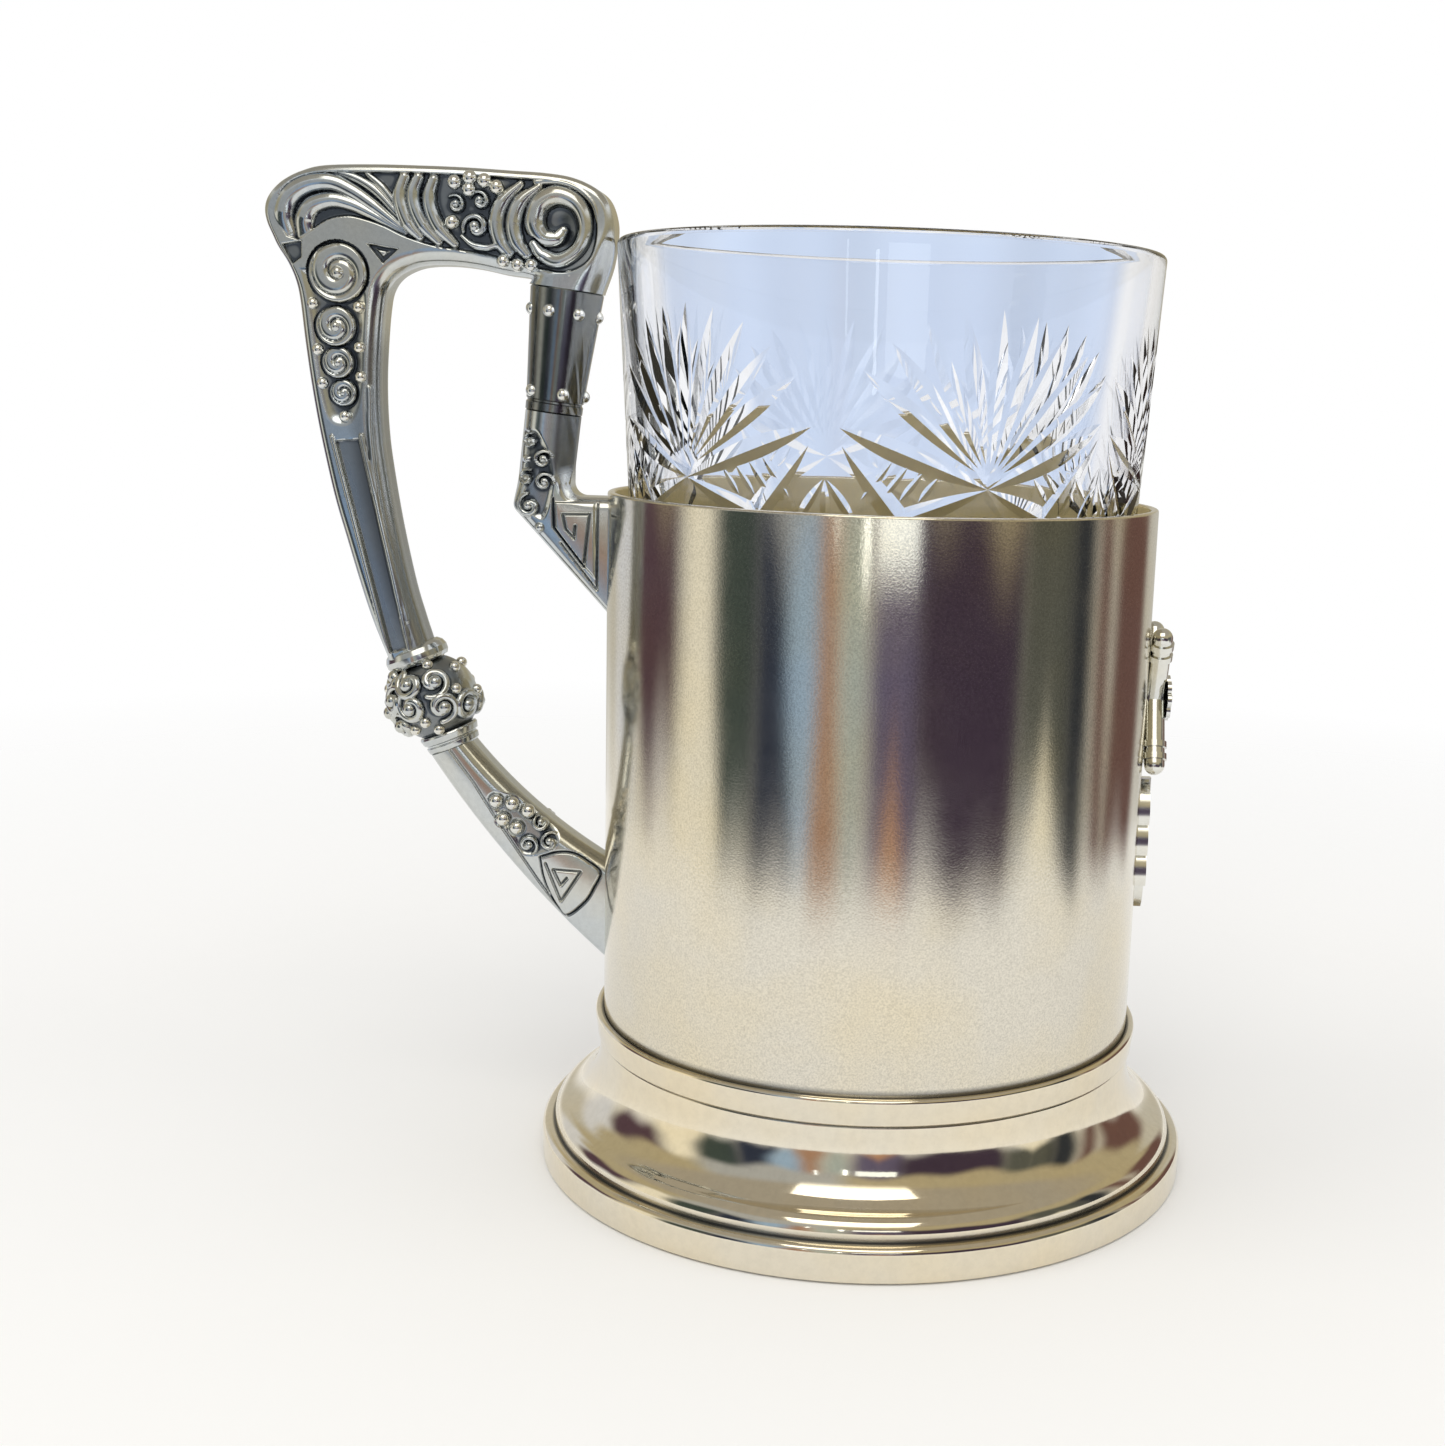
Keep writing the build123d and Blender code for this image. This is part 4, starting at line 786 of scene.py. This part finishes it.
def knot():
    tilt = np.linspace(-KNOT_END, KNOT_END, KNOT_ROWS)
    turn = np.linspace(0, 2 * math.pi, KNOT_COLUMNS, endpoint=False)
    tilt, turn = np.meshgrid(tilt, turn, indexing="ij")
    way = np.stack([np.cos(tilt) * np.sin(turn), np.cos(tilt) * np.cos(turn), np.sin(tilt)], -1)
    rise = np.zeros(tilt.shape)
    for side in (0, 1):
        for spot, row in KNOT_CURLS:
            wire(rise, way, spot, row, side, KNOT_CURL_R)
    shade = 0.85 * ease(0.02, 0.3, blurred(rise, 5) - rise) + 0.5 * ease(0.15, 0, rise)
    shade = np.clip(shade, 0, 1) * ease(0.97, 0.75, way[..., 0])
    points = (way * (BALL_R - KNOT_SUNK + rise)[..., None]).reshape(-1, 3)
    faces = grid_faces(KNOT_ROWS, KNOT_COLUMNS)[:, ::-1].tolist()
    ends = np.arange(KNOT_ROWS * KNOT_COLUMNS).reshape(KNOT_ROWS, KNOT_COLUMNS)
    faces += [ends[0].tolist(), ends[-1][::-1].tolist()]
    points, nodes = moved(points, *KNOT_FRAME), ("knot_ball", "knot_scrolls")
    place("knot_cast", points, faces, [cast], nodes, patina_and_shade=shade.reshape(-1), crease=60)
    spots = [(ball_spot(90, 10, BALL_R - 0.3), 0.7)]
    for spot, row in KNOT_BEADS:
        spots += [(ball_spot(at, row, BALL_R - 0.25), KNOT_BEAD_R) for at in (spot, 180 - spot)]
    beads("knot_beads", "knot_granules", spots, *KNOT_FRAME)
    knot_collars()


def ball_spot(turn, tilt, reach):
    turn, tilt = math.radians(turn), math.radians(tilt)
    flat = math.cos(tilt)
    return np.array([flat * math.sin(turn), flat * math.cos(turn), math.sin(tilt)]) * reach


def wire(rise, way, turn, tilt, side, radius):
    """One curl on the ball, as a spiral ridge round its place."""
    heart = ball_spot(180 - turn if side else turn, tilt, 1.0)
    near = (way @ heart) > math.cos((radius + 0.4) / BALL_R)
    east = np.cross([0, 0, 1], heart)
    east /= np.linalg.norm(east)
    north = np.cross(heart, east)
    flat = np.stack([way[near] @ east, way[near] @ north], 1) * BALL_R
    relief = Relief(flat)
    relief.curl((0, 0), radius, 1.25, turn * 3 + tilt, -1 if side else 1, 0.0, 0.8)
    rise[near] = np.maximum(rise[near], relief.height)


def knot_collars():
    """The plain band above the ball, and the grooved one below it, from the arms towards the ball."""
    upper = [(1.6, 0.0), (3.3, 0.0), (3.85, 0.45), (4.12, 1.1), (4.1, 1.8), (3.8, 2.35), (1.6, 2.35)]
    lower_band = [(1.6, 0.0), (3.2, 0.0), (3.42, 0.2), (3.55, 0.85), (3.38, 1.0), (3.42, 1.2), (3.7, 1.35)]
    lower_band += [(3.92, 2.1), (3.8, 2.4), (1.6, 2.4)]
    for name, node, spot, way, outline in (
        ("upper_collar", "knot_upper_collar", -7.2, 1, upper),
        ("lower_collar", "knot_lower_collar", 7.0, -1, lower_band),
    ):
        outline = rounded(outline, {k: 0.1 for k in range(1, len(outline) - 1)}, 5)
        verts, faces = lathe(outline, SMALL_STEPS)
        verts = moved(verts, step(KNOT, KNOT_AXIS, spot), floats(KNOT_AXIS) * way, KNOT_ACROSS)
        place(name, verts, faces, [cast], [node])


LOWER_BEADS = [(-49.3, 46.2), (-47.2, 45.9), (-45.1, 45.0), (-48.4, 43.8), (-46.6, 42.7)]


def lower_relief(relief):
    relief.groove([(-55.3, 52.8), (-52.1, 48.5), (-48.9, 43.3), (-43.7, 35.6), (-39.5, 29.8)], 0.24, 0.3)
    cluster = smooth(
        [(-50.6, 46.6), (-49.3, 47.5), (-45.6, 46.6), (-42.3, 44.6), (-40.9, 41.2), (-42.4, 39.5)]
        + [(-45.8, 39.0), (-47.6, 41.6)],
        6,
    )
    relief.field(cluster, -0.35, 0.8)
    for centre in LOWER_BEADS:
        relief.dish(centre, 1.3, 0.35)
    curls = (((-43.3, 43.4), 1.55, 90), ((-45.1, 40.5), 1.7, -60), ((-42.2, 40.9), 1.65, 60))
    for centre, radius, start in curls:
        relief.curl(centre, radius, CURL_TURNS, start, 1, -0.35, 0.8)
    shield = smooth(
        [(-43.5, 38.9), (-41.2, 39.6), (-39.0, 39.5), (-36.9, 38.3), (-35.5, 37.0), (-36.3, 35.0)]
        + [(-37.5, 33.0), (-39.9, 31.0), (-41.2, 32.2), (-42.4, 34.4), (-43.1, 36.5), (-43.5, 38.9)],
        6,
    )
    relief.field(shield, 0.3, 0.3)
    relief.groove(shield, 0.22, 0.3)
    key = [(-42.7, 38.1), (-40.7, 33.0), (-38.1, 37.1), (-41.7, 37.3), (-40.7, 35.2), (-39.9, 36.2)]
    relief.groove(key, 0.24, 0.36)


def lower():
    seat = step(KNOT, KNOT_AXIS, LOWER_SEAT)
    sole = arc(step(seat, KNOT_ACROSS, -2.8), (-34.3, 24.6), -1.2)
    back = arc(step(seat, KNOT_ACROSS, 2.8), (-34.3, 38.2), -1.1)
    outer, inner = paired([(sole, back)], PITCH)
    nodes = ("lower_arm", "lower_arm_scrolls", "lower_arm_shield")
    casting("lower_arm_cast", nodes, outer, inner, 3.0, (1.2, 2.0), lower_relief, inside=90, dome=0.4)
    spots = [((x - side, (side * 2 - 1) * 3.15, z - side), 0.95) for x, z in LOWER_BEADS for side in (0, 1)]
    beads("lower_arm_beads", "lower_arm_granules", spots)


# Tumbler, unrolled: millimetres along its outside from -Y towards +X, and heights

PER_TURN = math.radians(32.6)  # millimetres for each degree
FAN_TURNS = (-105.0, -44.3, 21.0, 78.0, 136.5, 195.5)
SEAM, GLASS_COLUMNS = -134.75, 360
CUT_LOW, CUT_HIGH, CUT_ROWS, CUT_FINE = 78.0, 112.5, 49, 0.17
CUT_PEAK = 0.57  # along a cut, where it is deepest
# Cuts' depths and half widths, and the heights that they spring from
RAY, ARM, BLADE, HATCH, STAR = (0.36, 1.05), (0.46, 1.3), (0.46, 1.4), (0.16, 0.42), (0.24, 0.6)
FAN_Z, ARM_Z, BLADE_Z, HATCH_Z, STAR_Z = 90.7, 90.1, 94.4, 92.9, 91.0
TINY = 1e-3


def leaf(turn, height, lean, first, last, cut):
    """A wheel cut between two reaches from a place, along a lean from upright."""
    way = np.array([math.sin(math.radians(lean)), math.cos(math.radians(lean))])
    start = np.array([turn * PER_TURN, height]) + first * way
    return start, (last - first) * way, *cut


def leaf_to(start, end, cut):
    start, end = (np.array([turn * PER_TURN, height]) for turn, height in (start, end))
    return start, end - start, *cut


def glass_cuts():
    """Fans of rays over crossed leaves, with hanging blades, hatching and a small star between them."""
    cuts = []
    for k, turn in enumerate(FAN_TURNS):
        for ray in range(-4, 5):
            cuts.append(leaf(turn, FAN_Z, 1.5 + 13 * ray, 2.2, 19.0, RAY))
        for hand, neighbour in ((-1, FAN_TURNS[k - 1]), (1, FAN_TURNS[(k + 1) % len(FAN_TURNS)])):
            middle = turn + hand * ((neighbour - turn) * hand % 360) / 2
            for rise in (6.3, -6.3):
                cuts.append(leaf_to((turn, ARM_Z), (middle - hand * 2.8, ARM_Z + rise), ARM))
            cuts.append(leaf(middle - hand * 3.3, BLADE_Z, 180 + hand * 39.5, 0, 17.0, BLADE))
            for row in range(4):
                start = turn + hand * (19.5 - 3.1 * row)
                cuts.append(leaf(start, HATCH_Z - 0.5 * row, 180 - hand * 38, 0, 5.4 - 0.6 * row, HATCH))
            if hand > 0 and k < len(FAN_TURNS) - 1:
                for lean in (-36, -2, 33):
                    cuts.append(leaf(middle, STAR_Z, 180 + lean, 0.3, 6.0, STAR))
    return cuts


def cut_swell(along):
    """How deep and how wide a cut is along it, as a share of its most."""
    side = np.where(along < CUT_PEAK, CUT_PEAK, 1 - CUT_PEAK)
    return 1 - ((along - CUT_PEAK) / side) ** 2


def cut_depths(places, cuts):
    """The deepest and the second deepest cut at each place; below zero is uncut glass."""
    best, second = np.full(len(places), -9.0), np.full(len(places), -9.0)
    for start, span, deep, half in cuts:
        length = np.hypot(*span)
        away = places - start
        along = away @ span / length**2
        aside = np.abs(away @ np.array([-span[1], span[0]])) / length
        depth = deep * cut_swell(along) - aside * deep / half
        second = np.maximum(second, np.minimum(best, depth))
        best = np.maximum(best, depth)
    return best, second


def cut_lines(cut, count=17):
    """The floor and both edges of a cut, as lines on the unrolled glass."""
    start, span, _, half = cut
    share = np.linspace(0, 1, count)
    wide = half * cut_swell(share)
    floor = start + share[:, None] * span
    aside = wide[:, None] * np.array([-span[1], span[0]]) / np.hypot(*span)
    return floor, floor + aside, floor - aside


def cut_skin():
    """The cut band of the outside as points on the unrolled glass, their depths, and its triangles."""
    cuts = glass_cuts()
    low, high = np.array([SEAM * PER_TURN, CUT_LOW]), np.array([(SEAM + 360) * PER_TURN, CUT_HIGH])
    across, up = np.linspace(low[0], high[0], GLASS_COLUMNS + 1), np.linspace(CUT_LOW, CUT_HIGH, CUT_ROWS)
    grid = np.stack(np.meshgrid(across, up), -1).reshape(-1, 2)
    border = (np.abs(grid - (low + high) / 2) > (high - low) / 2 - 1e-6).any(1)
    uncut = cut_depths(grid, cuts)[0] < -0.12
    across, up = np.arange(low[0], high[0], CUT_FINE), np.arange(CUT_LOW + 0.1, CUT_HIGH, CUT_FINE)
    fine = np.stack(np.meshgrid(across, up), -1).reshape(-1, 2)
    meeting = fine[cut_depths(fine, cuts)[1] > 0.0]
    points, edges = [grid[border | uncut], meeting], []
    count = sum(len(run) for run in points)
    for cut in cuts:
        for line in cut_lines(cut):
            line = line[(line[:, 1] > CUT_LOW + 0.05) & (line[:, 1] < CUT_HIGH - 0.05)]
            points.append(line)
            edges += [(count + k, count + k + 1) for k in range(len(line) - 1)]
            count += len(line)
    result = delaunay_2d_cdt([Vector(p) for p in np.vstack(points)], edges, [], 0, 1e-4)
    places = np.array([tuple(p) for p in result[0]])
    return places, np.maximum(cut_depths(places, cuts)[0], 0), result[2]


def seam_joined(places):
    """For each point its own number, or that of the same point at the seam's other end."""
    seam = {round(places[k, 1], 3): k for k in np.flatnonzero(places[:, 0] < SEAM * PER_TURN + TINY)}
    joined = np.arange(len(places))
    for k in np.flatnonzero(places[:, 0] > (SEAM + 360) * PER_TURN - TINY):
        joined[k] = seam[round(places[k, 1], 3)]
    return joined


def glass_radius(height):
    slope = (GLASS_TOP_R - GLASS_LOW_R) / (GLASS_TOP - GLASS_LOW)
    return GLASS_LOW_R + slope * (height - GLASS_LOW)


def glass_profiles():
    """The plain glass below the cut band, out from its middle, and above it, over the rim and down inside."""
    curve, rim = GLASS_FOOT_ROUND, GLASS_RIM_ROUND
    edge, floor = GLASS_LOW_R - curve, GLASS_LOW + GLASS_BASE
    below = [(10.0, GLASS_LOW + 1.0), (18.0, GLASS_LOW + 0.6), (21.0, GLASS_LOW), (edge, GLASS_LOW)]
    for a in np.linspace(0.2, 1.45, 7):
        below.append((edge + curve * math.sin(a), GLASS_LOW + curve - curve * math.cos(a)))
    below += [(glass_radius(z), z) for z in np.linspace(GLASS_LOW + 2, CUT_LOW, 30)[:-1]]
    above = [(glass_radius(z), z) for z in np.linspace(CUT_HIGH, GLASS_TOP - rim, 6)[1:]]
    for a in np.linspace(0.2, 2.94, 10):
        above.append((GLASS_TOP_R - 0.84 + rim * math.cos(a), GLASS_TOP - rim + rim * math.sin(a)))
    hollow = corner((32.49, GLASS_TOP), (24.75, floor), (0, floor), HOLLOW_ROUND, 24)
    above += [tuple(p) for p in np.linspace((32.44, GLASS_TOP - 1.0), hollow[0], 30)[:-1]]
    return below, above + [tuple(p) for p in hollow] + [(12.0, floor), (5.0, floor)]


def tumbler():
    places, depth, triangles = cut_skin()
    turn, reach = np.radians(places[:, 0] / PER_TURN), glass_radius(places[:, 1]) - depth
    verts = [np.stack([reach * np.sin(turn), -reach * np.cos(turn), places[:, 1]], 1)]
    joined = seam_joined(places)
    faces = [[int(joined[k]) for k in face] for face in triangles]
    spin, count = np.radians(SEAM + np.arange(GLASS_COLUMNS)), len(places)
    for profile, level in zip(glass_profiles(), (CUT_LOW, CUT_HIGH)):
        rows = []
        for r, z in profile:
            rows.append(np.arange(count, count + GLASS_COLUMNS))
            verts.append(np.stack([r * np.sin(spin), -r * np.cos(spin), np.full(GLASS_COLUMNS, z)], 1))
            count += GLASS_COLUMNS
        is_foot = level == CUT_LOW
        verts.append(np.array([(0, 0, profile[0 if is_foot else -1][1])]))
        pole = rows[0] if is_foot else rows[-1]
        caps = [[int(a), int(b), count] for a, b in zip(pole, np.roll(pole, -1))]
        count += 1
        edge = np.flatnonzero(np.abs(places[:, 1] - level) < TINY)
        edge = joined[edge[np.argsort(places[edge, 0])]][:GLASS_COLUMNS]
        rows = rows + [edge] if is_foot else [edge] + rows
        for first, then in zip(rows, rows[1:]):
            faces += np.stack([first, np.roll(first, -1), np.roll(then, -1), then], 1).tolist()
        faces += [cap[::-1] for cap in caps] if is_foot else caps
    place("crystal_tumbler", np.vstack(verts), faces, [clear], ["tumbler"], "glass", crease=16)


# Solids that keep their shape


def dress_solids():
    for names, material in (
        (("floor_disc", "emblem_rivets"), gilt),
        (("post_rod", "knot_dowel"), steel),
        (("emblem_batons", "emblem_rosette", "emblem_leaves"), bright),
    ):
        for name in names:
            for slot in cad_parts[name].material_slots:
                slot.material = material


# Studio, in metres

ONLY_MIRRORED = ("camera", "diffuse", "transmission", "shadow", "volume_scatter")
ONLY_THROUGH = ("camera", "diffuse", "glossy", "shadow", "volume_scatter")
WALL_TONE = (0.63, 0.735, 0.92)
# Cards that the metal mirrors: turn from the camera, half widths at the foot and high up, colour, start
CARDS = [
    (-122, 10, 10, (0.72, 0.74, 0.8), 0.0),
    (-97, 3, 13, (0.1, 0.06, 0.08), 0.0),
    (-72, 15, 6, (0.95, 0.9, 0.76), -0.012),
    (-54, 5, 9, (0.06, 0.08, 0.072), -0.01),
    (-38, 10, 8, (0.034, 0.042, 0.07), -0.03),
    (-26, 1, 7, (0.36, 0.5, 0.68), 0.0),
    (-18, 6, 3, (0.44, 0.26, 0.17), -0.03),
    (-8, 1, 4, (0.44, 0.5, 0.48), -0.01),
    (8, 9, 10, (0.14, 0.12, 0.2), -0.03),
    (7, 6, -4, (0.54, 0.3, 0.17), -0.035),
    (36, 18, 21, (0.06, 0.042, 0.07), -0.02),
    (68, 12, 12, (0.11, 0.115, 0.1), -0.02),
    (68, 10, -4, (0.95, 0.9, 0.74), -0.015),
    (84, 5, 6, (0.035, 0.04, 0.05), -0.035),
    (114, 18, 20, (0.16, 0.09, 0.08), -0.035),
    (104, 0, 2, (0.55, 0.52, 0.46), -0.03),
]
ROOM_TONE, HIGH_TONE, FRONT_TONE = (0.58, 0.56, 0.5), (0.48, 0.42, 0.28), (0.47, 0.475, 0.47)
ROOM_R, ROOM_STEPS, SKIRT, PANE_R = 0.24, 361, 0.15, 0.23
PANES = (  # name, turns of both sides, foot, top and strength
    ("pane_thin", -16.4, -15.6, 0.09, 0.118, 2.5),
    ("pane_narrow", -5.6, -4.4, 0.078, 0.108, 4.0),
    ("pane_broad", -1.2, 14, 0.082, 0.11, 1.5),
)
PANE_TONE, CEILING_TONE, CEILING_Z, CEILING_HALF = (0.92, 0.97, 1), (0.42, 0.38, 0.31), 1.4, 2
LAMPS = (  # name, place, size, power and whether the metal mirrors it
    ("key", (-0.03, -0.75, 0.95), 0.75, 3.6, True),
    ("left", (-0.9, -0.3, 0.8), 0.7, 2.0, False),
    ("right", (0.9, -0.2, 0.7), 0.7, 1.4, False),
)
LAMP_TONE, LAMP_AIM = (1, 0.96, 0.87), (0, 0, 0.06)
FLOOR_R, FLOOR_Z, FLOOR_STEPS = 0.42, -0.0002, 96
FLOOR_TONE, FADE_START, FADE_END = (0.93, 0.93, 0.93, 1), 0.13, 0.4
SKY_LIGHT, SKY_SEEN = 0.75, 1.0
EYE, EYE_TURNS = (0, -0.23972, 0.10069), (0.576, -11.436, -1.945)


def bare_material(name):
    material, tree, _ = nodes_of(name)
    tree.nodes.clear()
    return material, tree


def staged(name, verts, faces, material, hidden=()):
    mesh = mesh_of(name, verts, faces, [material])
    obj = linked(name, mesh)
    for flag in hidden:
        setattr(obj, "visible_" + flag, False)
    return mesh


def blended(tree, share, first, second):
    """The surface goes from a first shader to a second one with a share."""
    mix = added(tree, "MixShader")
    for socket, source in zip(mix.inputs, (share, first.outputs[0], second.outputs[0])):
        feed(socket, source)
    added(tree, "OutputMaterial", Surface=mix.outputs[0])


def toned(name, verts, faces, colours, hidden):
    """A card that shines in its points' colours, clear where their alpha is low."""
    material, tree = bare_material(name)
    tone = added(tree, "Attribute")
    tone.attribute_name = "tone"
    glow = added(tree, "Emission", Color=tone.outputs["Color"])
    blended(tree, tone.outputs["Alpha"], added(tree, "BsdfTransparent"), glow)
    mesh = staged(name, verts, faces, material, hidden)
    values = colours.astype(np.float32).reshape(-1)
    mesh.attributes.new("tone", "FLOAT_COLOR", "POINT").data.foreach_set("color", values)


def glowing(name, verts, tone, strength=1.0):
    """A plain card that shines, seen only as a reflection."""
    material, tree = bare_material(name)
    glow = added(tree, "Emission", Color=(*tone, 1), Strength=strength)
    added(tree, "OutputMaterial", Surface=glow.outputs[0])
    staged(name, verts, [(0, 1, 2, 3)], material, ONLY_MIRRORED)


def card_tones(turns, level):
    """The cards' colours round the room at a level."""
    tones = np.tile(ROOM_TONE, (len(turns), 1))
    for turn, low, high, colour, _ in CARDS:
        half = low + (high - low) * ease(-0.02, 0.06, level)
        tones += (np.array(colour) - tones) * ease(half + 5, half - 4, np.abs(turns - turn))[:, None]
    return tones


def room():
    """A ring of toned cards round the table, and their feet on it, seen only in the metal."""
    turns = np.linspace(-180, 180, ROOM_STEPS)
    starts = np.zeros(ROOM_STEPS)
    for turn, low, _, _, start in CARDS:
        starts += (start - starts) * ease(low + 6, low - 5, np.abs(turns - turn))
    starts += 0.011 * np.sin(np.radians(turns * 7)) + 0.007 * np.sin(np.radians(turns * 19 + 40))
    tops = 0.112 + 0.014 * np.sin(np.radians(turns * 5 + 60)) + 0.012 * np.sin(np.radians(turns * 13))
    front = ease(-75, -60, turns) * ease(0, -12, turns)
    tall = HIGH_TONE + (np.array(FRONT_TONE) - HIGH_TONE) * front[:, None]
    floor_levels, low_levels = np.linspace(-SKIRT, 0, 26), np.linspace(0.004, 0.12, 28)
    levels = np.concatenate([floor_levels, low_levels, np.linspace(0.14, 0.26, 7)])
    rim = np.stack([np.sin(np.radians(turns)), -np.cos(np.radians(turns))], 1)
    verts, colours = [], []
    for level in levels:
        height = np.full(ROOM_STEPS, max(level, 0.0003))
        verts.append(np.column_stack([rim * (ROOM_R + min(level, 0)), height]))
        above = ease(-0.025, 0.025, level - tops)[:, None]
        cover = ease(-0.03, 0.04, level - starts) * (1 - ease(0.18, 0.26, level))
        cover = cover * ease(-SKIRT, 0.02 - SKIRT, level)
        colours.append(np.column_stack([card_tones(turns, level) * (1 - above) + tall * above, cover]))
    faces = grid_faces(len(levels), ROOM_STEPS, False)
    toned("room", np.vstack(verts), faces, np.vstack(colours), ONLY_MIRRORED)


def wall_behind():
    """A lavender wall behind, seen only through the glass."""
    side, low, high = 0.095, 0.03, 0.17
    across, up = np.meshgrid(np.linspace(-side, side, 77), np.linspace(low, high, 57))
    verts = np.stack([across, np.full(across.shape, 0.25), up], -1).reshape(-1, 3)
    soft = ease(side, 0.078, np.abs(across)) * ease(low, 0.045, up) * ease(high, 0.152, up)
    shade = 1 + 0.05 * np.sin(across / 0.009) + 0.03 * np.sin(across / 0.0037 + 1)
    colours = np.concatenate([np.array(WALL_TONE) * shade[..., None], soft[..., None]], -1)
    toned("wall_behind", verts, grid_faces(*across.shape, False), colours.reshape(-1, 4), ONLY_THROUGH)


def ceiling():
    corners = ((-1, -1), (-1, 1), (1, 1), (1, -1))
    glowing("ceiling", [(x * CEILING_HALF, y * CEILING_HALF, CEILING_Z) for x, y in corners], CEILING_TONE)


def windows():
    """Bright window panes, which show on the glass and on the foot."""
    for name, left, right, low, high, strength in PANES:
        corners = ((left, low), (right, low), (right, high), (left, high))
        spots = [(math.radians(turn), z) for turn, z in corners]
        verts = [(PANE_R * math.sin(turn), -PANE_R * math.cos(turn), z) for turn, z in spots]
        glowing(name, verts, PANE_TONE, strength)


def white_floor():
    """A pale table that fades into the white background away from the object."""
    material, tree = bare_material("floor_white")
    reach = added(tree, "VectorMath")
    reach.operation = "LENGTH"
    feed(reach.inputs[0], added(tree, "TexCoord").outputs["Object"])
    fade = added(tree, "MapRange", Value=reach.outputs["Value"], From_Min=FADE_START, From_Max=FADE_END)
    matt = added(tree, "BsdfDiffuse", Color=FLOOR_TONE)
    blended(tree, fade.outputs["Result"], matt, added(tree, "BsdfTransparent"))
    return material


def sky():
    """White where it is seen, mirrored or looked through to, and softer as a light."""
    world = bpy.data.worlds.new("studio")
    bpy.context.scene.world = world
    world.use_nodes = True
    tree = world.node_tree
    path = added(tree, "LightPath")
    seen = path.outputs["Is Camera Ray"]
    for kind in ("Is Glossy Ray", "Is Transmission Ray"):
        either = added(tree, "Math")
        either.operation = "MAXIMUM"
        feed(either.inputs[0], seen)
        feed(either.inputs[1], path.outputs[kind])
        seen = either.outputs[0]
    level = added(tree, "MapRange", Value=seen, To_Min=SKY_LIGHT, To_Max=SKY_SEEN)
    fill(tree.nodes["Background"], Color=(1, 1, 1, 1), Strength=level.outputs["Result"])


def studio():
    sky()
    staged("floor", around(FLOOR_STEPS, FLOOR_R, FLOOR_Z), [range(FLOOR_STEPS)], white_floor())
    for name, spot, size, power, mirrored in LAMPS:
        lamp = bpy.data.lights.new(name, "AREA")
        lamp.size = size
        lamp.energy = power
        lamp.color = LAMP_TONE
        obj = linked(name, lamp)
        obj.visible_glossy = mirrored
        obj.location = spot
        obj.rotation_euler = (Vector(spot) - Vector(LAMP_AIM)).to_track_quat("Z", "Y").to_euler()
    room()
    wall_behind()
    ceiling()
    windows()


def camera():
    lens = bpy.data.cameras.new("camera")
    lens.sensor_width = 36
    lens.lens = 46.15
    lens.shift_x, lens.shift_y = -0.0918, 0.0284
    lens.clip_start = 0.01
    yaw, pitch, roll = (math.radians(turn) for turn in EYE_TURNS)
    turn = Matrix.Rotation(yaw, 3, "Z") @ Matrix.Rotation(pitch, 3, "X") @ Matrix.Rotation(roll, 3, "Y")
    right, forward, up = turn.col
    obj = linked("camera", lens)
    obj.matrix_world = Matrix.Translation(EYE) @ Matrix((right, up, -forward)).transposed().to_4x4()
    bpy.context.scene.camera = obj


camera()
wall()
collar()
foot()
bow()
post()
bracket()
knot()
lower()
tumbler()
dress_solids()
studio()
bpy.context.scene.view_settings.view_transform = "Standard"
